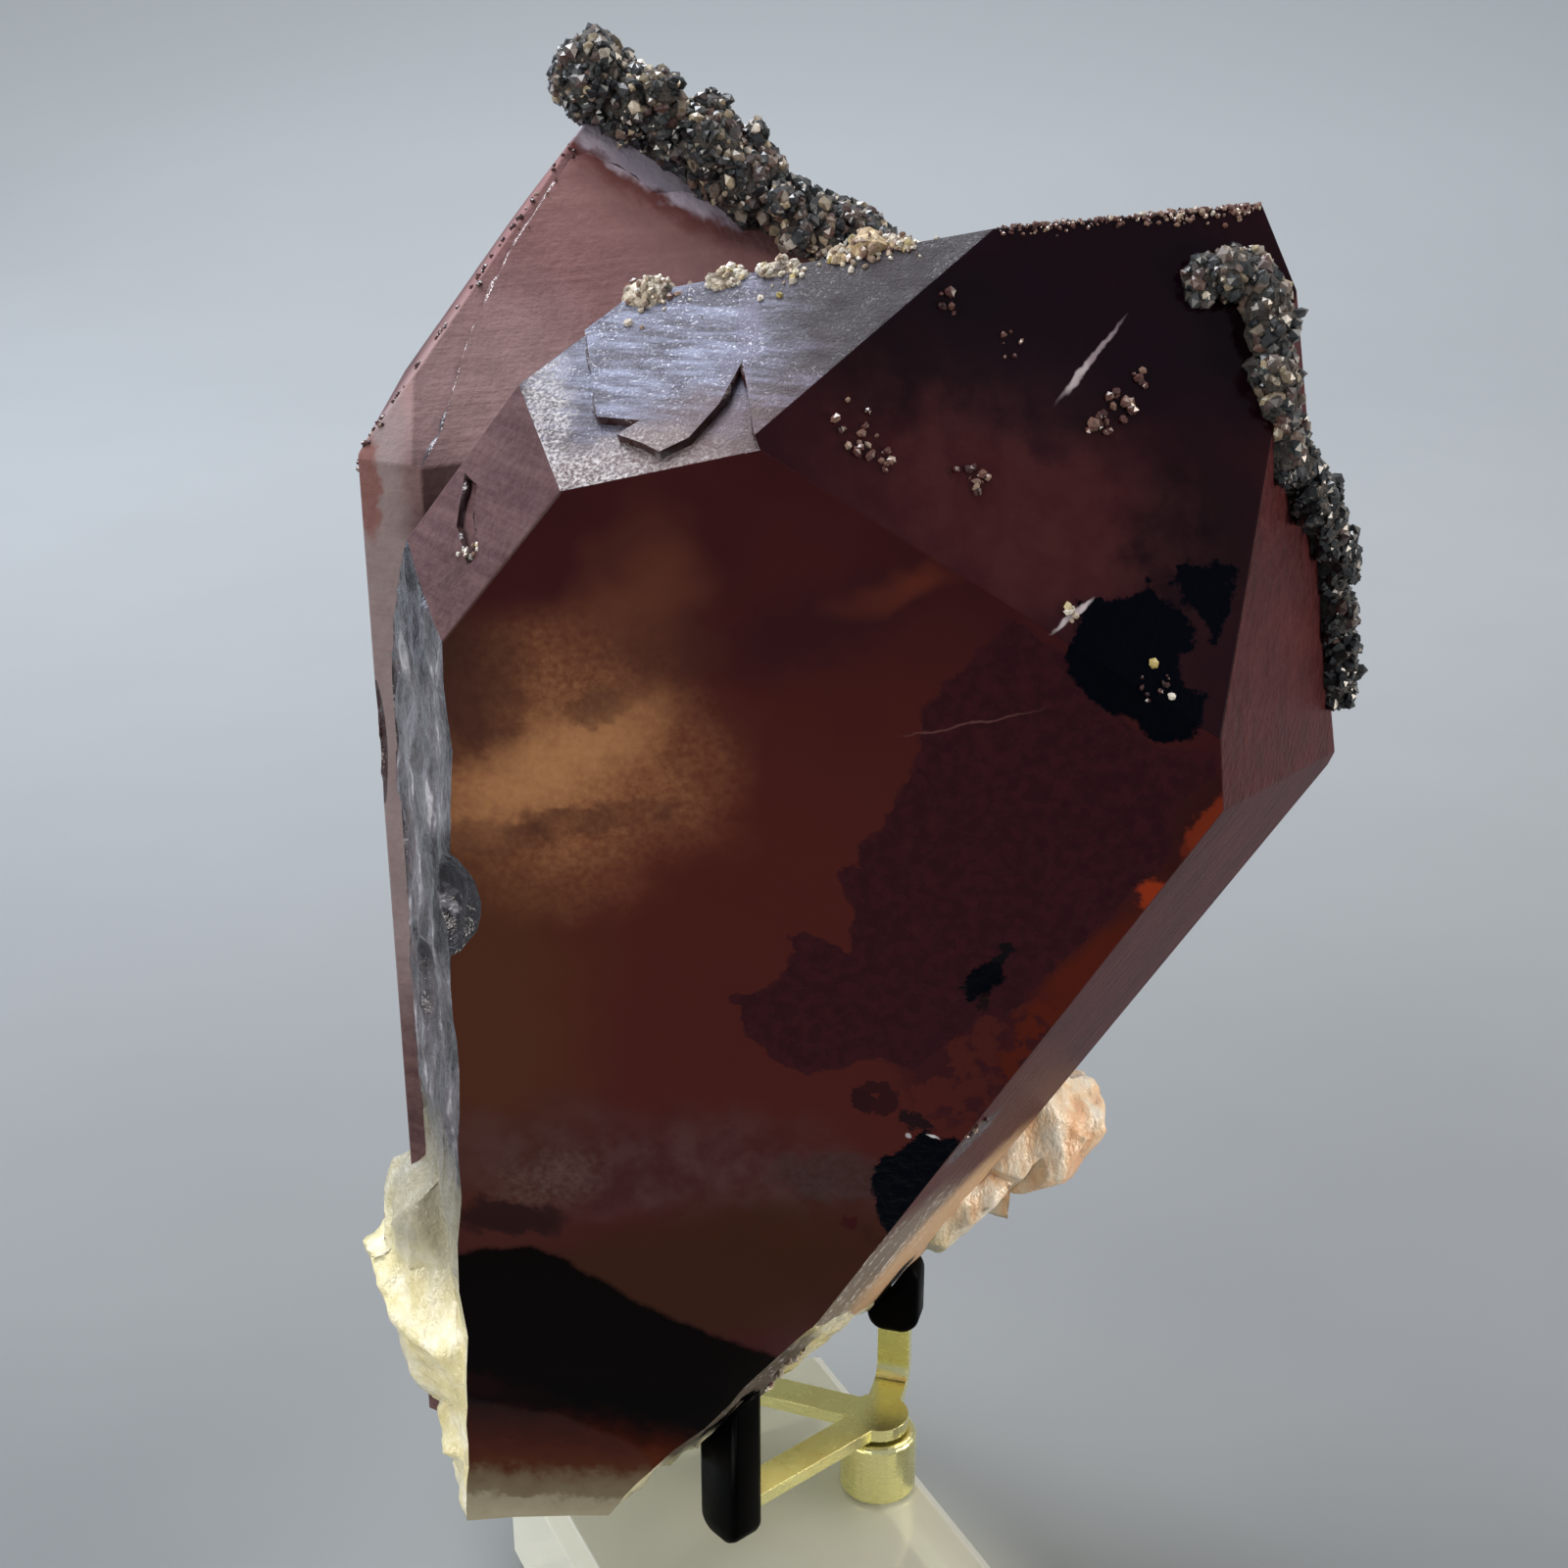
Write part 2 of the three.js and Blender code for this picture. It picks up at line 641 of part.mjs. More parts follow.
const stand = new THREE.Group();
const base = addPiece('acrylic_base', acrylicBase(), 'acrylic', stand);
base.rotation.z = radians(BASE.turn);
const hub = addPiece('brass_hub', brassHub(), 'brass', stand);
hub.position.set(...HUB.at, 0);
addPiece('brass_cradle', toGeometry(brassCradle()), 'brass', stand);
for (const [side, arm] of Object.entries(ARMS)) {
  addPiece(`rubber_sleeve_${side}`, toGeometry(rubberSleeve(arm, quartz)), 'rubber', stand);
}
object.add(stand);

export default object;
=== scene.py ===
"""Looks for a hematite on quartz specimen in its small brass and acrylic stand.

Everything is in metres in the part's own frame. Patterns are worked out in millimetres.
"""

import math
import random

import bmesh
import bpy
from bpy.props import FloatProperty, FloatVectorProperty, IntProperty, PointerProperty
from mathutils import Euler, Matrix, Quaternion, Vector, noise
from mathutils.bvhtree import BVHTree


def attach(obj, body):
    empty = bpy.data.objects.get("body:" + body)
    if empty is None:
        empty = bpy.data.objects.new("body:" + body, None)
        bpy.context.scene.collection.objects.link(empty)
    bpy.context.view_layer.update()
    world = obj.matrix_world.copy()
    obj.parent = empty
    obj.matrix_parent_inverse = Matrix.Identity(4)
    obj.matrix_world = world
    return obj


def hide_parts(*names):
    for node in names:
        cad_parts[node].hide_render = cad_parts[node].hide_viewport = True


bl_info = {
    "name": "Hematite on Quartz Specimen",
    "version": (1, 0, 0),
    "blender": (4, 5, 0),
    "location": "View3D > Sidebar > Specimen",
    "description": "Dresses a packed quartz specimen and its stand",
    "category": "Object",
}

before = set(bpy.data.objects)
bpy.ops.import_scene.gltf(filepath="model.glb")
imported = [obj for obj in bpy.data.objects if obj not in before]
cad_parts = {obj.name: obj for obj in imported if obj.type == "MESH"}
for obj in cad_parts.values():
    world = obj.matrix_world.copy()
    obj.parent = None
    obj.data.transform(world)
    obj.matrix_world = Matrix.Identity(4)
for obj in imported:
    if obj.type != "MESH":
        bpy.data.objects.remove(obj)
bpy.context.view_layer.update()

MM = 0.001
BODY = "root"


def linear(hex_colour):
    """A linear colour with alpha from an sRGB hex value."""
    parts = [int(hex_colour[i:i + 2], 16) / 255 for i in (1, 3, 5)]
    curve = [c / 12.92 if c <= 0.04045 else ((c + 0.055) / 1.055) ** 2.4 for c in parts]
    return (*curve, 1.0)


# Sizes and colours that a user would change

class QuartzSettings(bpy.types.PropertyGroup):
    edge: FloatProperty(
        name="Crystal Edge",
        description="Width of the worn edge between two crystal faces",
        default=0.12 * MM, min=0, unit="LENGTH", precision=5)
    grid: FloatProperty(
        name="Marking Grid",
        description="Spacing of the points that carry the outlines of the markings",
        default=0.8 * MM, min=0.4 * MM, unit="LENGTH", precision=5)
    break_size: FloatProperty(
        name="Break Detail",
        description="Longest edge left on a broken surface",
        default=0.75 * MM, min=0.3 * MM, unit="LENGTH", precision=5)


class CrustSettings(bpy.types.PropertyGroup):
    grain: FloatProperty(
        name="Grain",
        description="Radius of a usual grain of the crusts",
        default=0.34 * MM, min=0.1 * MM, unit="LENGTH", precision=5)
    rear_count: IntProperty(
        name="Rear Grains",
        description="Grains on the crust along the rear ridge",
        default=2600, min=0)
    right_count: IntProperty(
        name="Right Grains",
        description="Grains on the crust down the right edge",
        default=1700, min=0)


class StandSettings(bpy.types.PropertyGroup):
    edge: FloatProperty(
        name="Metal Edge",
        description="Width of the rounded edges of the brass and the block",
        default=0.14 * MM, min=0, unit="LENGTH", precision=5)
    tint: FloatVectorProperty(
        name="Acrylic Tint",
        description="Colour that the block takes where light runs far through it",
        default=linear("#fcfdee")[:3], size=3, min=0, max=1, subtype="COLOR")
    brass: FloatVectorProperty(
        name="Brass",
        description="Colour of the polished brass",
        default=linear("#fefaba")[:3], size=3, min=0, max=1, subtype="COLOR")


class StageSettings(bpy.types.PropertyGroup):
    floor: FloatVectorProperty(
        name="Floor",
        description="Colour of the floor and the sweep behind it",
        default=linear("#c9ced2")[:3], size=3, min=0, max=1, subtype="COLOR")
    key: FloatProperty(
        name="Overhead Light",
        description="Power of the large soft light above the specimen",
        default=5.0, min=0, unit="POWER")
    lens: FloatProperty(
        name="Lens",
        description="Focal length of the camera",
        default=49.5, min=10, subtype="DISTANCE_CAMERA")


# Meshes

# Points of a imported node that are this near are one, and a cut this near a point meets it.
MERGE_GAP = 0.002 * MM
CUT_GAP = 0.005 * MM


def merged_copy(node, flat_angle=0.0):
    """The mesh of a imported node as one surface, its flat parts joined where an angle is given."""
    bm = bmesh.new()
    bm.from_mesh(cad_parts[node].data)
    bmesh.ops.remove_doubles(bm, verts=bm.verts, dist=MERGE_GAP)
    if flat_angle:
        bmesh.ops.dissolve_limit(
            bm, angle_limit=math.radians(flat_angle), verts=bm.verts, edges=bm.edges)
    return bm


def make_piece(name, bm, materials, slot, *nodes):
    """Turns a bmesh into a piece that rides on the specimen and stands for CAD nodes."""
    mesh = bpy.data.meshes.new(name)
    bm.to_mesh(mesh)
    bm.free()
    piece = bpy.data.objects.new(name, mesh)
    bpy.context.scene.collection.objects.link(piece)
    for material in materials:
        mesh.materials.append(material)
    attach(piece, BODY)
    if nodes:
        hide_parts(*nodes)
    return piece


def refine(bm, longest, wanted=lambda face: True):
    """Splits the edges of the wanted faces until none is longer than it may be."""
    for _ in range(8):
        edges = [e for e in bm.edges
                 if e.calc_length() > longest and any(wanted(f) for f in e.link_faces)]
        if not edges:
            break
        bmesh.ops.subdivide_edges(bm, edges=edges, cuts=1)
        many = [f for f in bm.faces if wanted(f) and len(f.verts) > 3]
        bmesh.ops.triangulate(bm, faces=many)


def soften_edges(bm, width, least_angle=25, segments=2):
    """Rounds every edge that turns more sharply than an angle."""
    sharp = [e for e in bm.edges
             if e.is_manifold and e.calc_face_angle(0) > math.radians(least_angle)]
    bmesh.ops.bevel(
        bm, geom=sharp, offset=width, offset_type="OFFSET", segments=segments,
        profile=0.5, affect="EDGES", material=-1, clamp_overlap=True)


# The crystals in mm and degrees. A face has its turn about the crystal's axis, its rise above
# square to the axis and its reach from the crystal's centre.

FRONT_CRYSTAL = {
    "centre": (6, 14, 62), "lean": 36, "heading": -10, "spin": -141,
    "faces": {
        "left": (359, 2, 40.5), "front": (61, -1, 21), "underside": (120, 4, 18),
        "right": (180, 0, 21), "back": (240, 0, 17), "upper": (300, 1, 26.5),
        "striated_tip": (2, 37, 42.6), "front_tip": (59, 39, 33),
        "underside_tip": (120, 38, 27), "contact_tip": (180, 49, 30),
        "back_tip": (240, 38, 29), "upper_tip": (300, 40, 35.5),
    },
}
REAR_CRYSTAL = {
    "centre": (-9, 24, 60), "lean": 0, "heading": 0, "spin": -57,
    "faces": {
        "rear_front": (0, 0, 8), "rear_right": (60, 0, 15), "rear_back_right": (120, 0, 17),
        "rear_back": (180, 0, 18), "rear_left": (240, 0, 18.5),
        "rear_front_left": (300, 0, 22.5), "rear_front_tip": (0, 38, 25),
        "rear_back_right_tip": (120, 38, 31.5), "rear_left_tip": (240, 38, 33.5),
        "rear_right_tip": (60, 38, 37), "rear_back_tip": (180, 38, 39),
        "rear_front_left_tip": (300, 38, 36.5),
    },
}

# Deepest that a growth layer or an etched pit lies below its crystal face.
LAYER_DEPTH = 0.7 * MM
# How far a face may stand proud of its crystal face, and the cosine of how far it may turn.
PROUD = 0.05 * MM
SAME_WAY = 0.9996
# In degrees: faces that turn by less are joined, and edges that turn by more are worn.
FLAT_ANGLE, WORN_ANGLE = 0.4, 12
# Longest edge left on the sugary lumps.
SUGAR_SIZE = 0.35 * MM
# Height, pitch and flutes of the relief of the breaks and the lumps, in millimetres.
BREAK_RELIEF = (0.2, 2.2, 0.32)
SUGAR_RELIEF = (0.16, 0.7)

# The finish of each crystal face, by its place in the quartz operator's list of materials.
MARKED, BROKEN, SUGARY = (0, 1), 4, 5
FINISH_OF = {
    "front": 0, "front_tip": 1, "striated_tip": 2, "upper_tip": 2,
    "left": 3, "rear_front": 3, "rear_front_tip": 3, "rear_front_left": 3,
    "rear_front_left_tip": 3, "rear_left_tip": 3,
    "underside": 6, "underside_tip": 6,
    "rear_left": 7, "rear_right": 7, "rear_back": 7, "rear_back_right": 7, "rear_right_tip": 7,
    "rear_back_tip": 7, "rear_back_right_tip": 7,
    "right": 8, "back": 8, "upper": 8, "contact_tip": 8, "back_tip": 8,
}
# The sugary lumps sit on the ridge of the front crystal, above this height.
SUGARY_ABOVE = 98.5 * MM
# The marked faces and the lumps lie in front of this place.
FRONT_PART = 12 * MM


def crystal_planes(crystal):
    """Name, outward direction and distance from the origin of each face of a crystal."""
    turn = (Quaternion((0, 0, 1), math.radians(crystal["heading"]))
            @ Quaternion((0, 1, 0), math.radians(crystal["lean"]))
            @ Quaternion((0, 0, 1), math.radians(crystal["spin"])))
    planes = []
    for name, (about, rise, reach) in crystal["faces"].items():
        about, rise = math.radians(about), math.radians(rise)
        normal = turn @ Vector((
            math.cos(rise) * math.cos(about), math.cos(rise) * math.sin(about),
            math.sin(rise)))
        planes.append((name, normal, (normal.dot(Vector(crystal["centre"])) + reach) * MM))
    return planes


PLANES = crystal_planes(FRONT_CRYSTAL) + crystal_planes(REAR_CRYSTAL)
FRONT_NORMAL = next(normal for name, normal, _ in PLANES if name == "front")
ACROSS = Vector((0, 0, 1)).cross(FRONT_NORMAL).normalized()
UPWARD = FRONT_NORMAL.cross(ACROSS)
MARK_ORIGIN = Vector((0, 0, 60)) * MM

# Outlines of the markings on the front faces, in millimetres across and up from the middle.
MAROON = [
    (11.6, 27), (15, 24.8), (17.2, 21.8), (19.6, 19.6), (23.4, 19), (23.4, 17.4), (22, 16.2),
    (21.2, 14), (21.6, 12.6), (19.8, 10.4), (17.2, 7), (13.4, 1.8), (11, 1), (8.8, -1.6),
    (7.4, -2.6), (5.2, -2), (1.2, -3.2), (0, -2.8), (-2.8, -0.6), (-3.4, 0.6), (-3.2, 2),
    (-4.4, 2.4), (-2, 3), (-1.2, 3.6), (0, 5.4), (-0.8, 6.6), (0.2, 7.2), (1.8, 6.4),
    (3.4, 5.2), (2.8, 11.2), (4, 11.2), (3.6, 12.8), (5.2, 14), (6, 16.8), (7, 19.2),
    (7, 21.8), (9.4, 24.2),
]
HEMATITE = [
    [(14.8, 27.6), (17.6, 27.4), (18.6, 27.6), (19, 28.6), (19.6, 27.4), (21.6, 25.2),
     (21.6, 24.4), (20.6, 24), (21.2, 23), (23, 21.8), (22.4, 20.8), (22.2, 19.6),
     (19.8, 19.6), (18.8, 21), (16, 22.4), (15, 23.6), (14.6, 25.2), (16, 26.2)],
    [(20.8, 28), (21.8, 28.4), (24.6, 27.8), (24.4, 26.6), (23.4, 24.4), (22.8, 24.6),
     (22.4, 26), (21.2, 26.8)],
    [(11.6, 5.4), (12.3, 4.2), (12.2, 3.4), (11.4, 3.2), (11.4, 2), (10.8, 2.4), (9.6, 1.6),
     (10, 3), (10.6, 3.6), (9.8, 4.3), (10.8, 4.2)],
    [(7.8, -7.2), (8.8, -7.8), (10, -8), (10.6, -9), (10, -10.2), (10, -11.8), (7.4, -15.2),
     (6, -16), (5, -14.8), (4.8, -12.8), (4.4, -10.6), (5.6, -9.4), (6.8, -9.2)],
]
# Outlines of a painted glow: red light coming through the thin right edge of the front face.
PAINTED_EDGE_GLOW_OUTLINES = [
    [(23.4, 17.8), (26, 16), (22, 8), (14.2, -5), (12.4, -4), (12.2, -1.8), (13, 1),
     (15.4, 4.6), (17.4, 6.8), (19.8, 9), (20, 10.4), (21.6, 12.6), (21.4, 14), (22, 16.2)],
    [(7.4, -15.2), (6, -16), (4.2, -14.4), (3.6, -15), (4.4, -15.8), (5, -16.8), (6.2, -16.6)],
]
WEDGE = [
    (-23, -18), (-17, -17.2), (-14.6, -18.2), (-12.2, -20.2), (-7.2, -23.4), (-0.8, -26.4),
    (1.6, -28.4), (-7.6, -38.6), (-11.4, -34), (-16.6, -31.6), (-23, -30.4),
]
# What a point off the front faces stores.
FAR_OUTSIDE = -40.0


def inside_by(point, outline):
    """How far a point is inside an outline, or a negative distance outside it."""
    x, y = point
    nearest, inside = 1e9, False
    for (ax, ay), (bx, by) in zip(outline, outline[1:] + outline[:1]):
        dx, dy = bx - ax, by - ay
        share = ((x - ax) * dx + (y - ay) * dy) / (dx * dx + dy * dy)
        share = min(1.0, max(0.0, share))
        nearest = min(nearest, math.hypot(x - ax - share * dx, y - ay - share * dy))
        if (ay > y) != (by > y) and x < ax + (y - ay) * dx / dy:
            inside = not inside
    return nearest if inside else -nearest


def paint_outlines(bm):
    """Stores how far inside each kind of marking every point of the front faces is."""
    kinds = {
        "maroon": [MAROON], "hematite": HEMATITE, "painted_edge_glow": PAINTED_EDGE_GLOW_OUTLINES, "wedge": [WEDGE],
    }
    layers = {name: bm.verts.layers.float.new(name) for name in kinds}
    finish = bm.faces.layers.int["finish"]
    for vert in bm.verts:
        marked = any(f[finish] in MARKED for f in vert.link_faces) and vert.co.y < FRONT_PART
        local = (vert.co - MARK_ORIGIN) / MM
        point = (local.dot(ACROSS), local.dot(UPWARD))
        for name, outlines in kinds.items():
            value = max(inside_by(point, o) for o in outlines) if marked else FAR_OUTSIDE
            vert[layers[name]] = value


def cut_grid(bm, name, spacing):
    """Cuts one crystal face into a grid of points that can carry its markings."""
    index = [plane[0] for plane in PLANES].index(name)
    face_of = bm.faces.layers.int["face_of"]
    for way in (ACROSS, UPWARD):
        faces = [f for f in bm.faces if f[face_of] == index]
        reach = [v.co.dot(way) for f in faces for v in f.verts]
        at = min(reach) + spacing / 2
        while at < max(reach):
            faces = [f for f in bm.faces if f[face_of] == index]
            # Kept in a fixed order, so that every run gives the same mesh.
            verts = dict.fromkeys(v for f in faces for v in f.verts)
            edges = dict.fromkeys(e for f in faces for e in f.edges)
            bmesh.ops.bisect_plane(
                bm, geom=[*verts, *edges, *faces], dist=CUT_GAP, plane_co=way * at,
                plane_no=way)
            at += spacing


def roughen(bm, verts, height, pitch, flutes=0.0):
    """Moves points in and out in fractal waves, and where asked in long upright flutes."""
    moves = []
    for vert in verts:
        p = vert.co / (pitch * MM)
        swell = height * noise.fractal(p, 0.9, 2.1, 4)
        if flutes:
            long = Vector((p.x, p.y, 0.22 * p.z))
            swell += flutes * (0.5 - abs(noise.noise(long)) * 2.2)
            swell += 0.5 * flutes * noise.noise(long * 2.3)
        moves.append((vert, vert.normal * (swell * MM)))
    for vert, move in moves:
        vert.co += move


def quartz_mesh(settings):
    """The crystals with worn edges, gridded front faces and finely broken breaks."""
    bm = merged_copy("quartz_crystals", FLAT_ANGLE)
    face_of = bm.faces.layers.int.new("face_of")
    for face in bm.faces:
        face[face_of] = -1
        middle = face.calc_center_median()
        for index, (_, normal, offset) in enumerate(PLANES):
            depth = offset - normal.dot(middle)
            if face.normal.dot(normal) > SAME_WAY and -PROUD < depth < LAYER_DEPTH:
                face[face_of] = index
    edges = [e for e in bm.edges if e.is_manifold
             and min(f[face_of] for f in e.link_faces) >= 0
             and e.calc_face_angle(0) > math.radians(WORN_ANGLE)]
    bmesh.ops.bevel(
        bm, geom=edges, offset=settings.edge, offset_type="OFFSET", segments=2,
        profile=0.5, affect="EDGES", material=-1, clamp_overlap=False)
    finish = bm.faces.layers.int.new("finish")
    for face in bm.faces:
        name = PLANES[face[face_of]][0] if face[face_of] >= 0 else None
        face[finish] = BROKEN if name is None else FINISH_OF[name]
        middle = face.calc_center_median()
        if name is None and middle.z > SUGARY_ABOVE and middle.y < FRONT_PART:
            face[finish] = SUGARY
    rough = [f for f in bm.faces if f[finish] in (BROKEN, SUGARY)]
    bmesh.ops.triangulate(bm, faces=rough)
    refine(bm, settings.break_size, lambda face: face[finish] == BROKEN)
    refine(bm, SUGAR_SIZE, lambda face: face[finish] == SUGARY)
    bm.normal_update()
    for kind, relief in ((BROKEN, BREAK_RELIEF), (SUGARY, SUGAR_RELIEF)):
        inner = [v for v in bm.verts if all(f[finish] == kind for f in v.link_faces)]
        roughen(bm, inner, *relief)
    for name in ("front", "front_tip"):
        cut_grid(bm, name, settings.grid)
    paint_outlines(bm)
    for face in bm.faces:
        face.material_index = face[finish]
        face.smooth = face[finish] == BROKEN
    return bm


# Materials

def link(tree, value, socket):
    """Links an output, or a node's first output, to a socket."""
    tree.links.new(value.outputs[0] if isinstance(value, bpy.types.Node) else value, socket)


def add(tree, kind, inputs=None, **settings):
    """Adds one node with its settings. An input's value is a number, a colour or a link."""
    made = tree.nodes.new("ShaderNode" + kind)
    for name, value in settings.items():
        setattr(made, name, value)
    for name, value in (inputs or {}).items():
        if isinstance(value, (bpy.types.Node, bpy.types.NodeSocket)):
            link(tree, value, made.inputs[name])
        else:
            made.inputs[name].default_value = value
    return made


def ramp(tree, value, stops):
    """A colour for a value from 0 to 1, by the places of some colours on the way."""
    made = add(tree, "ValToRGB", {0: value})
    points = made.color_ramp.elements
    for i, (place, colour) in enumerate(stops):
        point = points[i] if i < 2 else points.new(place)
        point.position = place
        point.color = linear(colour)
    return made


def shader_input(tree, name):
    return tree.nodes["Principled BSDF"].inputs[name]


def new_material(name, **shader_values):
    """A material with its nodes, and the place on the piece in millimetres."""
    material = bpy.data.materials.new(name)
    material.use_nodes = True
    tree = material.node_tree
    for socket, value in shader_values.items():
        shader_input(tree, socket.replace("_", " ")).default_value = value
    coords = add(tree, "TexCoord")
    place = add(tree, "VectorMath", {0: coords.outputs["Object"], "Scale": 1 / MM},
                operation="SCALE")
    return material, tree, place


def new_quartz(name, rough, specular):
    return new_material(name, IOR=1.544, Roughness=rough, Specular_IOR_Level=specular)


def absorb(tree, colour, density):
    """Light takes on a colour on its way through."""
    depth = add(tree, "VolumeAbsorption", {"Color": colour, "Density": density})
    link(tree, depth, tree.nodes["Material Output"].inputs["Volume"])


def see_through(tree, share):
    """Lets part of the light through into quartz that iron has stained red-brown."""
    shader_input(tree, "Transmission Weight").default_value = share
    absorb(tree, linear("#c07a55"), 42.0)


def dress(material, colour, rough=None, relief=None, strength=0.0, depth=0.0):
    """Links colour, roughness and relief, whose depth is in millimetres, to the shader.

    Roughness is a node, or a mask with the least and the most. Relief is a mask, or a mask, how
    many times it counts and a mask to add.
    """
    tree = material.node_tree
    if isinstance(rough, tuple):
        rough = add(tree, "MapRange", dict(zip(("Value", "To Min", "To Max"), rough)))
    if isinstance(relief, tuple):
        relief = add(tree, "Math", dict(enumerate(relief)), operation="MULTIPLY_ADD")
    if relief is not None:
        relief = add(tree, "Bump",
                     {"Height": relief, "Strength": strength, "Distance": depth * MM})
    for value, socket in ((colour, "Base Color"), (rough, "Roughness"), (relief, "Normal")):
        if value is not None:
            link(tree, value, shader_input(tree, socket))
    return material


def blot(tree, place, centre, half, soft=0.5, turn=0.0):
    """1 in the middle of an ellipsoid given in millimetres, fading to 0 at its edge."""
    local = add(
        tree, "Mapping",
        {"Vector": place, "Location": centre, "Scale": half,
         "Rotation": (0, math.radians(turn), 0)}, vector_type="TEXTURE")
    reach = add(tree, "VectorMath", {0: local}, operation="LENGTH")
    return add(
        tree, "MapRange",
        {"Value": reach.outputs["Value"], "From Min": 1 + soft / 2, "From Max": 1 - soft / 2},
        interpolation_type="SMOOTHSTEP")


def shaken(tree, place, pitch, by, detail=2.0):
    """The place, pushed about by noise with a pitch, so that a blot's edge turns ragged."""
    push = add(tree, "TexNoise",
               {"Vector": place, "Scale": 1 / pitch, "Detail": detail, "Roughness": 0.62})
    centred = add(tree, "VectorMath",
                  {0: push.outputs["Color"], 1: (0.5, 0.5, 0.5)}, operation="SUBTRACT")
    return add(tree, "VectorMath",
               {0: centred, 1: (2 * by,) * 3, 2: place}, operation="MULTIPLY_ADD")


def ragged_waves(tree, place):
    """Broad to fine noise about 0 that the edges of the markings follow."""
    wave = add(tree, "TexNoise",
               {"Vector": place, "Scale": 1 / 3.2, "Detail": 5.0, "Roughness": 0.76})
    return add(tree, "Math", {0: wave, 1: 0.5}, operation="SUBTRACT")


def outline_mask(tree, waves, name, ragged, soft=0.12):
    """1 inside a marking's outline, with an edge that the waves make ragged."""
    inside = add(tree, "Attribute", attribute_name=name)
    edge = add(tree, "Math",
               {0: waves, 1: 5 * ragged, 2: inside.outputs["Fac"]}, operation="MULTIPLY_ADD")
    return add(tree, "MapRange",
               {"Value": edge, "From Min": -soft, "From Max": soft},
               interpolation_type="SMOOTHSTEP")


def mask_of(tree, mask):
    """A link for a mask: a link already, a tuple for a blot or a list of two to multiply."""
    if isinstance(mask, tuple):
        return blot(tree, *mask)
    if isinstance(mask, list):
        first, second = [mask_of(tree, part) for part in mask]
        return add(tree, "Math", {0: first, 1: second}, operation="MULTIPLY")
    return mask


def paint(tree, under, layers):
    """Lays colours over each other, each with its own mask and strength."""
    for colour, mask, strength in layers:
        share = add(tree, "Math", {0: mask_of(tree, mask), 1: strength},
                    operation="MULTIPLY", use_clamp=True)
        colour = linear(colour) if isinstance(colour, str) else colour
        under = add(tree, "Mix", {0: share, 6: under, 7: colour}, data_type="RGBA").outputs[2]
    return under


def fade(tree, place, start, end, axis="Z"):
    """0 up to a start and 1 beyond an end, in millimetres along an axis."""
    along = add(tree, "SeparateXYZ", {0: place}).outputs[axis]
    return add(tree, "MapRange", {"Value": along, "From Min": start, "From Max": end})


def speckle(tree, place, pitch, low, high, detail=3.0):
    """Noise of a pitch in millimetres, stretched so that it runs from 0 to 1."""
    grainy = add(tree, "TexNoise",
                 {"Vector": place, "Scale": 1 / pitch, "Detail": detail, "Roughness": 0.6})
    return add(tree, "MapRange",
               {"Value": grainy, "From Min": low, "From Max": high})


def along_crystal(tree, place, crystal, scale):
    """The place by axes that follow a crystal's lean, scaled along each."""
    turn = (0, math.radians(crystal["lean"]), math.radians(crystal["heading"]))
    return add(tree, "Mapping", {"Vector": place, "Scale": scale, "Rotation": turn},
               vector_type="TEXTURE")


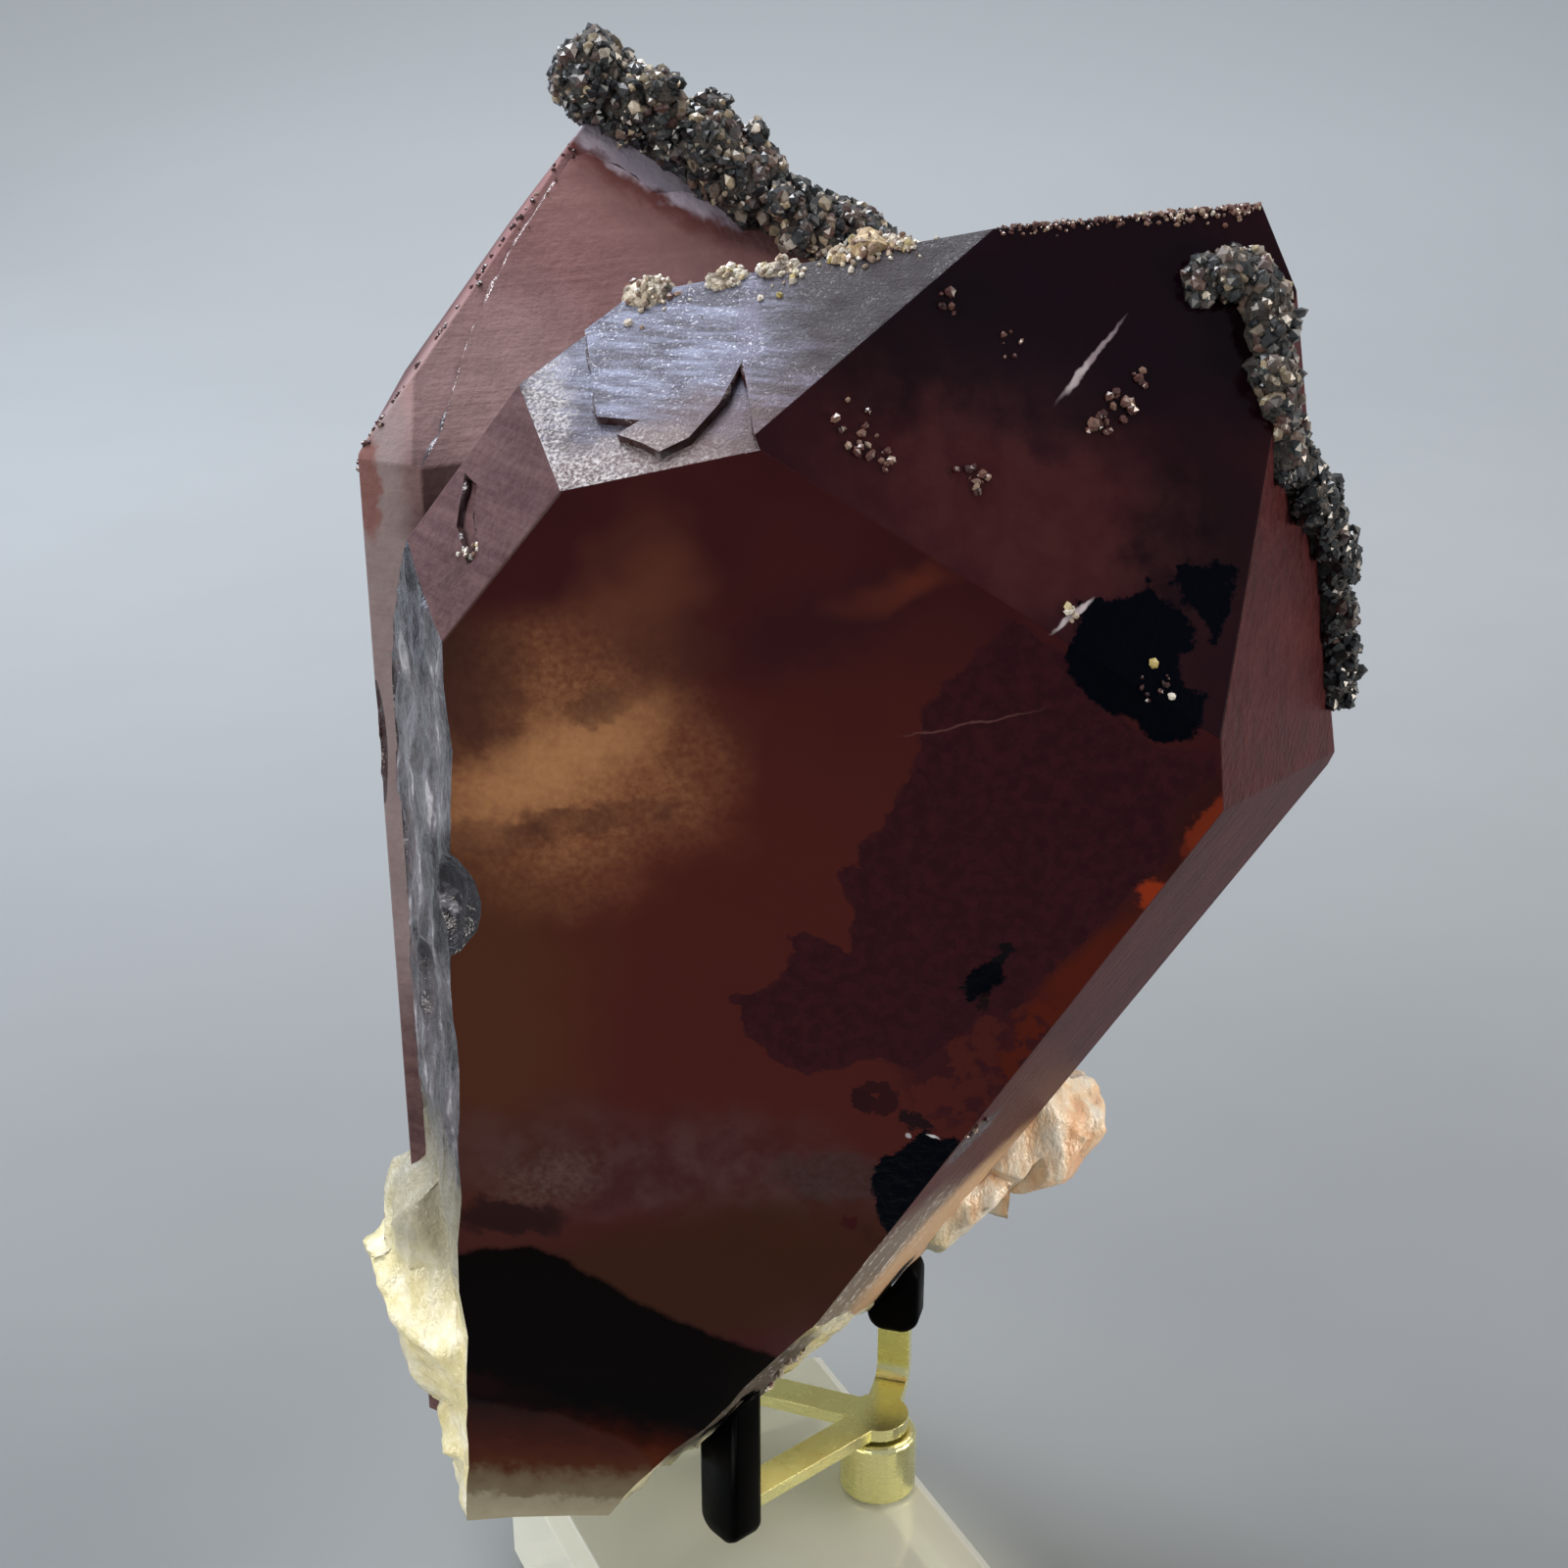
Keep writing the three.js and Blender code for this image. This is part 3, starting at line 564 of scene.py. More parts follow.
def glassy_front():
    """The big front face: iron stain under smooth glass, dark, with a glow of light through it
    painted on in places.
    """
    material, tree, place = new_quartz("iron_stained_quartz_face_with_painted_glow", 0.14, 0.05)
    see_through(tree, 0.22)
    ragged = shaken(tree, place, 6.0, 3.0)
    smudge = shaken(tree, place, 1.5, 1.5, 3.0)
    broad = speckle(tree, place, 14.0, 0.3, 0.7)
    fine = speckle(tree, place, 0.45, 0.35, 0.7)
    cloudy = speckle(tree, place, 2.6, 0.38, 0.62, 4.0)
    colour = ramp(tree, broad, [(0, "#331116"), (1, "#411719")])
    # Painted glow: the orange-brown cloud and the pale streaks in it stand in for light coming
    # through the crystal.
    painted_glow_mask = blot(tree, ragged, (-13.6, -8.5, 76.9), (7.2, 12, 6.4), 1.5, -35)
    colour = paint(tree, colour, [
        ("#55221b", (ragged, (-1, -7, 62), (19, 16, 21), 1.1), 0.75),
        ("#57331f", (ragged, (-19.5, -5, 62), (6.5, 10, 17), 1.2), 0.7),
        ("#8c573b", painted_glow_mask, 0.9),
        ("#66392a", (ragged, (-9.5, -9.5, 85.6), (2.8, 9, 5.6), 1.4, 18), 0.8),
        ("#b8835a", (smudge, (-14, -8, 76.7), (6.2, 8, 2.2), 1.5, -32), 0.8),
        ("#d29c6c", [painted_glow_mask, fine], 0.3),
        ("#38201a", (ragged, (-19.4, -8, 81.4), (4.2, 8, 4.4), 1.2, -30), 0.75),
    ])
    for centre, half, turn in SMUDGES:
        mask = blot(tree, smudge, centre, half, 0.7, turn)
        colour = paint(tree, colour, [
            ("#5a3529", mask, 0.35), ("#3d211d", [mask, cloudy], 0.4)])
    band = blot(tree, ragged, (-8, -5, 48.6), (16, 14, 3.8), 1.1, 4)
    pale = blot(tree, smudge, (-15.6, -4, 47.6), (3.4, 6, 2.0), 1.2, -15)
    square = blot(tree, smudge, (2.0, -6.5, 48.2), (3.6, 6, 1.9), 0.35, 0)
    colour = paint(tree, colour, [
        ("#3f2325", band, 0.55),
        ("#604645", [band, cloudy], 0.4),
        ("#6f5c54", [pale, fine], 0.45),
        ("#3b1f0c", (ragged, (-5, -5, 40.4), (15, 14, 4.8), 0.9, -14), 0.8),
        ("#220b0d", (smudge, (-18.4, -4, 44.4), (3.6, 8, 1.5), 0.6, 3), 0.85),
        ("#6b3020", (ragged, (4.8, -10, 87.2), (2.4, 8, 0.9), 1.4, -20), 0.8),
        ("#2c131b", (smudge, (1.0, -10, 85.5), (5, 8, 2.0), 1.2, -24), 0.5),
        ("#3b2b28", square, 0.6),
        ("#57464a", [square, fine], 0.25),
    ])
    colour, rough, relief = mark_front(tree, place, smudge, colour, 0.22)
    return dress(material, colour, rough, relief, 0.35, 0.2)


# Markings of the front faces, by middle and half sizes in mm, turn and colour if they have one.
# Dark smudges in the painted glow of the front face
SMUDGES = [
    ((-7.4, -9, 84.2), (3.0, 8, 2.0), -12), ((-11.0, -8.6, 80.8), (3.2, 8, 1.1), -18),
    ((-11.8, -8, 73.3), (5.0, 8, 1.0), -10), ((-17.4, -8, 72.2), (3.0, 8, 1.2), 0),
    ((-18.4, -8, 79.8), (3.2, 8, 2.2), -30),
]
# Thin pale scratches, and painted glints: the first two and the last one
SCRATCHES_AND_PAINTED_GLINTS = [
    ((8.2, -6.2, 51.5), (0.36, 3, 0.12), 20, "#e4e2e6"),
    ((6.7, -6.2, 51.6), (0.14, 3, 0.2), 10, "#c9c6cc"),
    ((15.9, -2.3, 98.4), (2.5, 4, 0.14), -45, "#a99aa2"),
    ((15.2, -3.0, 97.6), (0.9, 4, 0.2), -50, "#c9bcc2"),
    ((9.4, -9.3, 79.8), (3.6, 3, 0.07), -14, "#6a4543"),
    ((14.7, -9.4, 86.0), (1.3, 2, 0.16), -30, "#d8ccd2"),
]
# Small dark flecks
FLECKS = [
    ((11.3, -8, 63.9), (1.3, 6, 0.42), -52, "#04050b"),
    ((10.4, -8, 62.7), (0.95, 6, 0.3), -28, "#04050b"),
    ((12.1, -8, 65.2), (0.5, 6, 0.4), -20, "#0c070c"),
    ((10.9, -8, 61.6), (0.3, 6, 0.7), 0, "#1a0a0c"),
    ((3.9, -6, 54.2), (0.6, 6, 1.2), -20, "#2a0d12"),
    ((5.3, -6, 54.0), (0.7, 6, 1.1), 30, "#300f13"),
    ((4.7, -6, 55.1), (0.9, 6, 0.4), 0, "#300f13"),
    ((7.2, -6, 52.6), (1.3, 6, 0.5), 30, "#1f0c10"),
    ((3.2, -6, 44.6), (0.5, 6, 0.5), 0, "#3a0d10"),
]


def mark_front(tree, place, smudge, colour, share):
    """The maroon stain, a painted red glow of light through the thin edge, black hematite and dark
    foot wedge.
    """
    mottled = speckle(tree, place, 0.8, 0.4, 0.66, 4.0)
    filigree = speckle(tree, place, 1.5, 0.49, 0.55, 5.0)
    jagged = shaken(tree, place, 0.7, 0.7, 3.0)
    waves = ragged_waves(tree, place)
    maroon = outline_mask(tree, waves, "maroon", 0.6)
    painted_edge_glow = outline_mask(tree, waves, "painted_edge_glow", 0.4, 0.5)
    black = outline_mask(tree, waves, "hematite", 0.5)
    wedge = outline_mask(tree, waves, "wedge", 0.3, 0.3)
    glow = blot(tree, place, (15.5, -7, 62), (8, 8, 6), 1.0, -50)
    frayed = blot(tree, jagged, (11.6, -7, 57.0), (5.6, 8, 5.5), 0.6, -40)
    foot = ramp(tree, fade(tree, smudge, 30, 18), [
        (0, "#090302"), (1, "#aba28a"), (0.13, "#180504"), (0.25, "#2d0c05"),
        (0.42, "#3f1407"), (0.57, "#4c220e"), (0.62, "#573d28"), (0.68, "#6b5945"),
        (0.81, "#7a6d58"), (0.85, "#999079")])
    # The dark wedge fades into the red foot along a line that falls to the right.
    part = add(tree, "SeparateXYZ", {0: smudge}).outputs
    slope = add(tree, "Math", {0: part["X"], 1: 0.3, 2: part["Z"]}, operation="MULTIPLY_ADD")
    above = add(tree, "MapRange", {"Value": slope, "From Min": 20.5, "From Max": 25.0})
    colour = paint(tree, colour, [
        ("#2d0e16", maroon, 0.93),
        ("#4a1c22", [maroon, mottled], 0.45),
        # Painted glow: red light through the thin edge, brightest in two orange spots.
        ("#33120e", painted_edge_glow, 0.75),
        ("#64200d", [painted_edge_glow, glow], 0.6),
        ("#a93c18", (jagged, (20.3, -8.6, 69.0), (0.9, 4, 1.1), 0.5, -40), 0.75),
        ("#8a3217", (jagged, (22.9, -9.3, 73.6), (0.8, 4, 2.2), 0.6, 30), 0.75),
        ("#35121a", [frayed, filigree], 0.8),
        (foot, fade(tree, smudge, 31, 29), 1.0),
        ("#020101", [wedge, above], 0.98),
        ("#01030a", black, 1.0),
    ])
    for centre, half, turn, dark in FLECKS:
        colour = paint(tree, colour, [(dark, (jagged, centre, half, 0.3, turn), 0.95)])
    thin = shaken(tree, place, 1.4, 0.35)
    # Scratches, and glints that are painted highlights.
    for centre, half, turn, pale in SCRATCHES_AND_PAINTED_GLINTS:
        colour = paint(tree, colour, [(pale, (thin, centre, half, 0.8, turn), 0.75)])
    dark = add(tree, "Math", {0: black, 1: wedge}, operation="MAXIMUM")
    clear = add(tree, "MapRange", {"Value": dark, "To Min": share, "To Max": 0.0})
    link(tree, clear, shader_input(tree, "Transmission Weight"))
    return colour, (black, 0.16, 0.3), mask_of(tree, [black, mottled])


def dark_tip():
    """The tip face beside it: nearly black purple-red, with a painted red glow in the middle and a
    fine orange-peel growth relief.
    """
    material, tree, place = new_quartz("iron_stained_quartz_tip_with_painted_glow", 0.18, 0.03)
    see_through(tree, 0.18)
    broad = speckle(tree, place, 9.0, 0.34, 0.66)
    fine = speckle(tree, place, 0.5, 0.3, 0.7)
    cloudy = speckle(tree, place, 2.2, 0.38, 0.62, 4.0)
    colour = ramp(tree, broad, [(0, "#19060f"), (1, "#280d14")])
    ragged = shaken(tree, place, 3.0, 2.0)
    # Painted glow: the red patch in the middle stands in for light coming through the crystal.
    red = blot(tree, ragged, (11.4, -7, 91.5), (10.4, 12, 4.8), 1.2, 22)
    colour = paint(tree, colour, [
        ("#421a1e", red, 0.85),
        ("#11040e", (ragged, (19, 0, 101), (13, 9, 6.5), 1.0, 5), 0.85),
        ("#0f040a", (ragged, (6, -4, 100.2), (6, 8, 3.6), 0.8, -30), 0.7),
        ("#0e0309", (ragged, (21.5, -4, 88.6), (4, 9, 4.5), 0.9), 0.8),
        ("#1b0c14", (ragged, (11, -5, 97.4), (6, 9, 3), 0.9, 20), 0.6),
        ("#4c2727", [red, cloudy], 0.5),
    ])
    colour, rough, relief = mark_front(tree, place, ragged, colour, 0.18)
    return dress(material, colour, rough, (fine, 0.25, relief), 0.2, 0.07)


def striated_tip():
    """A tip face with growth lines: thin level ridges in bluish streaks, with a painted highlight
    on the left and painted shade on the right.
    """
    material, tree, place = new_quartz("striated_quartz_face", 0.3, 0.5)
    see_through(tree, 0.15)
    stretched = add(tree, "Mapping",
                    {"Vector": place, "Scale": (0.09, 0.5, 2.4), "Rotation": (0.2, 0.03, 0.25)})
    lines = add(tree, "TexNoise",
                {"Vector": stretched, "Scale": 1.0, "Detail": 4.0, "Roughness": 0.7})
    streaks = add(tree, "MapRange",
                  {"Value": lines, "From Min": 0.4, "From Max": 0.62})
    fine = speckle(tree, place, 0.2, 0.4, 0.66)
    cloudy = speckle(tree, place, 2.0, 0.4, 0.6, 4.0)
    colour = ramp(tree, streaks, [
        (0, "#281923"), (0.5, "#3d2f3d"), (1, "#5f566a")])
    ragged = shaken(tree, place, 1.6, 1.3)
    bright = blot(tree, ragged, (-8, -2, 99.5), (6.8, 8, 4.8), 0.8)
    margin = blot(tree, ragged, (-10, -10.5, 94.2), (6.5, 3.2, 3.0), 0.6)
    colour = paint(tree, colour, [
        # Painted shade darkens the right part, and painted highlights light the left: a pale patch,
        # bluish streaks and an upright streak.
        ("#190a17", (ragged, (7.4, -3, 102.6), (9, 9, 5.2), 0.8), 0.92),
        ("#83879f", bright, 0.3),
        ("#969cb8", [bright, streaks], 0.9),
        ("#74718a", (ragged, (-3.2, -6, 99), (0.8, 7, 5), 0.6, 12), 0.6),
        ("#5d4748", margin, 0.8),
        ("#eae4e6", [margin, fine], 0.75),
        ("#d4cfd2", [(ragged, (-14, -5.5, 96.2), (1.5, 6, 4.5), 0.6), fine], 0.95),
        ("#6a5150", (ragged, (-4.5, -9, 95.4), (4.5, 4, 3), 1.0), 0.55),
    ])
    patchy = add(tree, "Math", {0: cloudy, 1: bright}, operation="SUBTRACT")
    rough = add(tree, "MapRange",
                {"Value": patchy, "From Min": -1, "From Max": 1, "To Min": 0.22, "To Max": 0.7})
    return dress(material, colour, rough, (lines, 3.0, fine), 0.55, 0.12)


def satin_face():
    """Etched faces: pinkish mauve-brown quartz with a dull sheen and faint level lines."""
    material, tree, place = new_quartz("etched_quartz_face", 0.5, 0.03)
    broad = speckle(tree, place, 11.0, 0.32, 0.68)
    fine = speckle(tree, place, 0.5, 0.35, 0.68)
    cloudy = speckle(tree, place, 2.8, 0.38, 0.62, 4.0)
    lines = add(tree, "Mapping", {"Vector": place, "Scale": (0.07, 0.07, 1.3)})
    level = speckle(tree, lines, 1.0, 0.38, 0.62, 4.0)
    colour = ramp(tree, broad, [
        (0, "#3e2b2e"), (0.5, "#483337"), (1, "#543f42")])
    ragged = shaken(tree, place, 4.0, 2.5)
    jagged = shaken(tree, place, 1.4, 1.1)
    smear = blot(tree, jagged, (-19.6, -5.6, 86.4), (2.4, 3.2, 2.2), 0.8)
    colour = paint(tree, colour, [
        ("#8e6869", (ragged, (-8, 22, 102), (18, 16, 17), 0.8), 0.9),
        ("#a38788", (ragged, (-19, 12, 94), (8, 8, 6), 1.2), 0.8),
        ("#8a7e80", (ragged, (-26.2, 8, 76), (3.5, 8, 22), 0.5), 0.85),
        ("#4a302f", cloudy, 0.2),
        ("#a88784", level, 0.1),
        # Painted shade: a dark line where the step falls away below the lavender band.
        ("#6b3c3b", (jagged, (-10.3, 28, 105.3), (8.6, 3, 2.7), 0.5, 33), 0.8),
        ("#cabfd2", (jagged, (-10.3, 28.4, 106.6), (7.8, 3, 2.3), 0.4, 33), 0.95),
        ("#6e3b34", (jagged, (-26.3, 8, 89), (1.0, 2.4, 3.4), 0.5), 0.7),
        ("#3b2a2b", [smear, cloudy], 0.75),
        ("#b59a94", fine, 0.06),
    ])
    return dress(material, colour, None, (level, 0.8, fine), 0.35, 0.08)


def underside_face():
    """The thin band below the front face: rosy quartz, streaked along the crystal, with painted
    glints and a peach patch that is partly a painted glow.
    """
    material, tree, place = new_quartz("streaked_quartz_face", 0.4, 0.03)
    along = along_crystal(tree, place, FRONT_CRYSTAL, (0.5, 0.9, 7.0))
    streaks = speckle(tree, along, 1.0, 0.38, 0.64, 4.0)
    fine = speckle(tree, place, 0.45, 0.36, 0.66)
    cloudy = speckle(tree, place, 4.0, 0.36, 0.64, 4.0)
    jagged = shaken(tree, along, 0.8, 0.5, 3.0)
    ragged = shaken(tree, place, 2.0, 1.6)
    colour = ramp(tree, cloudy, [(0, "#351316"), (1, "#461c1f")])
    low = blot(tree, ragged, (9, 6, 42), (9, 16, 13), 0.9)
    foot = blot(tree, ragged, (4.5, 2, 37), (6.5, 14, 7), 0.8)
    # glint holds painted highlights: small white glints along the streaks.
    glint = add(tree, "MapRange",
                {"Value": mask_of(tree, [streaks, fine]), "From Min": 0.42, "From Max": 0.6})
    chip = blot(tree, ragged, (11.2, -4, 49.6), (2.2, 5, 1.6), 0.5, -40)
    colour = paint(tree, colour, [
        ("#623437", streaks, 0.25),
        ("#5e342f", low, 0.55),
        ("#3d2527", [low, streaks], 0.45),
        ("#8a8274", foot, 0.7),
        # The peach-gold patch is partly the quartz's own colour and partly a painted glow of light
        # through the edge.
        ("#d9b691", (ragged, (10, 14, 32), (9, 12, 6), 0.8, -35), 0.8),
        # The chip is dark hematite; its pale speckle is painted glints.
        ("#1c1618", chip, 0.85),
        ("#8f8a94", [chip, fine], 0.6),
        ("#f2efec", [foot, glint], 0.9),
        ("#e6ddda", [(jagged, (10, 0, 47), (3, 5, 1), 0.9), glint], 0.9),
        ("#8a6a64", fine, 0.06),
    ])
    return dress(material, colour, None, (streaks, 2.0, fine), 0.4, 0.1)


def weathered_face(name, crystal):
    """Faces at the back: stain and milky veils in growth lines square to the crystal's length."""
    material, tree, place = new_quartz(name, 0.35, 0.12)
    across = along_crystal(tree, place, crystal, (14.0, 14.0, 0.8))
    level = speckle(tree, across, 1.0, 0.4, 0.62, 5.0)
    broad = speckle(tree, place, 12.0, 0.34, 0.66, 3.0)
    veil = speckle(tree, shaken(tree, place, 5.0, 6.0), 11.0, 0.46, 0.72, 3.0)
    rusty = speckle(tree, place, 6.0, 0.54, 0.66, 5.0)
    fine = speckle(tree, place, 0.45, 0.35, 0.68)
    specks = speckle(tree, place, 1.1, 0.63, 0.68, 4.0)
    colour = ramp(tree, broad, [
        (0, "#200e12"), (0.5, "#34191d"), (1, "#4a2a2b")])
    low = fade(tree, shaken(tree, place, 4.0, 6.0), 46, 28)
    colour = paint(tree, colour, [
        ("#7a5f5d", veil, 0.4),
        ("#5a2a1a", rusty, 0.5),
        ("#ab9a80", low, 0.8),
        ("#7d5340", [low, rusty], 0.6),
        ("#190c10", [level, broad], 0.45),
        ("#8a6f6c", [level, veil], 0.25),
        ("#0d0a10", specks, 0.85),
        ("#8a6f68", fine, 0.06),
    ])
    return dress(material, colour, (veil, 0.22, 0.5), (level, 2.5, fine), 0.35, 0.1)


def broken_quartz():
    """Breaks: clear grey-lavender glass above, milky cream and peach at the root. The peach is
    partly a painted glow; a chip's dark is painted shade, and pale specks are painted glints.
    """
    material, tree, place = new_quartz("broken_quartz", 0.1, 0.5)
    see_through(tree, 0.0)
    streaky = add(tree, "Mapping", {"Vector": place, "Scale": (0.5, 0.5, 0.16)})
    streaks = speckle(tree, streaky, 1.0, 0.36, 0.64, 4.0)
    fine = speckle(tree, place, 0.5, 0.35, 0.68)
    cloudy = speckle(tree, place, 2.6, 0.36, 0.64, 4.0)
    strip = ramp(tree, streaks, [
        (0, "#29262c"), (1, "#c9c6ce"), (0.45, "#565259"), (0.8, "#77727b")])
    ragged = shaken(tree, place, 3.0, 2.4)
    jagged = shaken(tree, place, 1.2, 1.4)
    low = fade(tree, ragged, 47, 39)
    clear = add(tree, "MapRange", {"Value": low, "To Min": 0.35, "To Max": 0.05})
    link(tree, clear, shader_input(tree, "Transmission Weight"))
    root = ramp(tree, cloudy, [
        (0, "#d6ca96"), (1, "#f4eed4"), (0.5, "#e7deb2")])
    peach = ramp(tree, streaks, [
        (0, "#efb98d"), (1, "#fff5e4"), (0.5, "#fbdcb8")])
    chip = blot(tree, jagged, (-21.4, -8.0, 67.0), (4.6, 6, 5.4), 0.4)
    under = blot(tree, ragged, (-4.5, -2, 29), (6.5, 9, 9), 0.5)
    crust = blot(tree, jagged, (5.5, 4, 32), (4.2, 8, 4.5), 0.6)
    colour = paint(tree, strip, [
        ("#25232c", (jagged, (-24.5, -3, 85), (4, 6, 6.5), 0.6), 0.93),
        ("#1d1a20", (jagged, (-25.5, 1, 79), (1.6, 5, 4.2), 0.5), 0.7),
        ("#96949c", (jagged, (-23.5, -5, 74), (1.6, 5, 5), 0.7), 0.5),
        # Painted shade darkens the hollow of the chip, with small painted glints in it.
        ("#1d1a20", chip, 0.93),
        ("#a8a5b4", [chip, (jagged, (-20.8, -8, 66.6), (0.8, 4, 1.3), 0.5)], 0.7),
        ("#39323a", (jagged, (-24.0, -3, 57), (1.6, 5, 4.0), 0.7), 0.6),
        ("#3a1718", (place, (-27.6, 7, 73), (2.0, 4, 7), 0.4), 0.95),
        ("#3b1b19", (place, (-6, -3, 99), (12, 10, 6), 0.2), 0.95),
        ("#4a3334", (place, (-18.2, -4.5, 90.5), (3, 5, 5), 0.2), 0.95),
        ("#93797a", (place, (-17, 21, 99), (12, 14, 13), 0.2), 0.95),
        ("#5c4444", (place, (-14, 42, 80), (26, 12, 42), 0.1), 0.9),
        (root, low, 0.97),
        ("#8f8665", (ragged, (-19.6, -2.5, 32), (1.6, 4, 12), 0.7), 0.8),
        ("#85806a", (ragged, (-21.0, -1.5, 41), (2.4, 5, 6), 0.8), 0.7),
        ("#928e7e", (ragged, (-24.5, 5, 41.5), (7, 12, 7), 0.9), 0.8),
        # The peach root is partly its own colour and partly a painted glow of light coming through
        # it.
        (peach, (ragged, (17, 20, 36), (10, 14, 9), 0.7), 0.95),
        ("#2b1517", under, 0.93),
        ("#8d8478", [under, (jagged, (-3.2, -6, 34), (2.4, 7, 2), 0.6)], 0.8),
        # Pale specks: painted glints on the dark break below the front face.
        ("#a9a3a6", [under, speckle(tree, place, 0.7, 0.6, 0.68)], 0.7),
        ("#ded9bb", crust, 0.9),
        ("#f4f2e6", [crust, fine], 0.6),
    ])
    return dress(material, colour, (under, 0.12, 0.8), (streaks, 2.0, fine), 0.5, 0.12)


def sugary_quartz():
    """Fine-grained quartz on the ridge: cream to grey-tan sugar with glinting grains."""
    material, tree, place = new_quartz("sugary_quartz", 0.35, 0.5)
    fine = speckle(tree, place, 0.35, 0.35, 0.68)
    cloudy = speckle(tree, place, 1.2, 0.38, 0.62, 4.0)
    colour = ramp(tree, cloudy, [
        (0, "#5d5147"), (0.4, "#a39583"), (0.75, "#cfc3ae"), (1, "#e6dfd0")])
    colour = paint(tree, colour, [
        ("#d8b888", (place, (3.8, 0.5, 103.9), (2.0, 3, 2.0), 0.6), 0.6),
        ("#4a3f3a", fine, 0.3),
    ])
    return dress(material, colour, None, fine, 0.7, 0.15)


def shaded_grain(made, stops, stain, strength, *pattern):
    """Grains that each have their own shade on a ramp, under a stain in a speckled pattern."""
    material, tree, place = made
    shade = add(tree, "Attribute", attribute_name="shade")
    colour = ramp(tree, shade.outputs["Fac"], stops)
    return dress(material, paint(
        tree, colour, [(stain, speckle(tree, place, *pattern), strength)]))


def small_grain():
    """Grains that grew late on the faces: glinting, clear to rusty quartz."""
    return shaded_grain(new_quartz("late_quartz_grains", 0.15, 0.6), [
        (0, "#1c1011"), (0.25, "#3d2021"), (0.45, "#62403a"), (0.6, "#8f7466"),
        (0.75, "#bfb09c"), (0.88, "#e2ddd4"), (1, "#b9a666")],
        "#2a1a18", 0.25, 0.3, 0.35, 0.68)


def crust_grain():
    """Hematite and quartz grains: a shiny mix of black, grey, tan, rust and clear."""
    made = new_material(
        "hematite_and_quartz_grains", IOR=1.6, Roughness=0.28, Specular_IOR_Level=0.6)
    return shaded_grain(made, [
        (0, "#0b0d12"), (0.3, "#23282b"), (0.45, "#45474a"), (0.55, "#5c4038"),
        (0.66, "#75695f"), (0.78, "#94856f"), (0.88, "#b3a487"), (1, "#d3cbc0")],
        "#0d1012", 0.55, 3.0, 0.4, 0.62, 5.0)


def crust_bed():
    """The fine matrix under the grains: dull blackish green-grey hematite."""
    material, tree, place = new_material(
        "massive_hematite", IOR=1.6, Roughness=0.55, Specular_IOR_Level=0.5)
    fine = speckle(tree, place, 0.5, 0.35, 0.68, 5.0)
    cloudy = speckle(tree, place, 2.2, 0.38, 0.62, 5.0)
    colour = ramp(tree, fine, [
        (0, "#0a0c0d"), (0.6, "#262826"), (1, "#4d453b")])
    colour = paint(tree, colour, [("#3d2a22", cloudy, 0.4)])
    return dress(material, colour, None, fine, 0.8, 0.2)


def clear_acrylic(settings):
    """Cast acrylic, sawn and polished: clear, with a faint yellow-green depth."""
    material, tree, place = new_material(
        "polished_acrylic", IOR=1.49, Roughness=0.1, Transmission_Weight=0.35)
    shader_input(tree, "Base Color").default_value = (*settings.tint, 1)
    scratches = speckle(tree, place, 0.6, 0.45, 0.8)
    absorb(tree, (*settings.tint, 1), 12.0)
    return dress(material, None, (scratches, 0.08, 0.2))


def polished_brass(settings):
    """Rolled brass strip, polished and lacquered: bright yellow with faint drawn lines."""
    material, tree, place = new_material(
        "polished_brass", Metallic=1.0, Roughness=0.2)
    drawn = add(tree, "Mapping", {"Vector": place, "Scale": (0.6, 0.6, 3.0)})
    lines = speckle(tree, drawn, 0.8, 0.3, 0.7, 2.0)
    dull = speckle(tree, place, 4.0, 0.4, 0.7, 2.0)
    colour = paint(tree, (*settings.brass, 1), [("#f0d486", dull, 0.3)])
    return dress(material, colour, (lines, 0.26, 0.29))


def black_rubber():
    """Dipped vinyl sleeve: smooth black with a soft shine and a little dust."""
    material, tree, place = new_material(
        "black_dipped_vinyl", IOR=1.5, Roughness=0.3, Specular_IOR_Level=0.03)
    dust = speckle(tree, place, 0.5, 0.5, 0.8, 4.0)
    broad = speckle(tree, place, 3.0, 0.4, 0.7)
    colour = paint(tree, linear("#010102"), [("#0b0c0d", dust, 0.15)])
    return dress(material, colour, (broad, 0.3, 0.48), dust, 0.15, 0.03)


def floor_finish(settings):
    """Matt blue-grey floor and sweep, with painted shade that darkens it towards the front, a faint
    painted pool of light and a painted pale patch of light under the block.
    """
    material, tree, place = new_material(
        "floor_paper_with_painted_light", Roughness=0.7, Specular_IOR_Level=0.3)
    uneven = speckle(tree, place, 60.0, 0.3, 0.7)
    shade = add(tree, "Math", {0: uneven, 1: 0.03, 2: fade(tree, place, -60, 700, "Y")},
                operation="MULTIPLY_ADD")
    # Painted shade: the floor darkens towards the front.
    near = [0.2 * c for c in settings.floor]
    colour = paint(tree, (*near, 1), [
        ((*settings.floor, 1), shade, 1),
        # Painted light: a faint pool round the specimen and a pale patch under the block, as if
        # spilled through it.
        ("#cfd4d0", (place, (4, 0, 0), (40, 38, 30), 1.5), 0.22),
        ("#f4f6ee", (place, (0, 0, 0), (17, 21, 20), 0.9), 0.85),
    ])
    return dress(material, colour)


# Grains

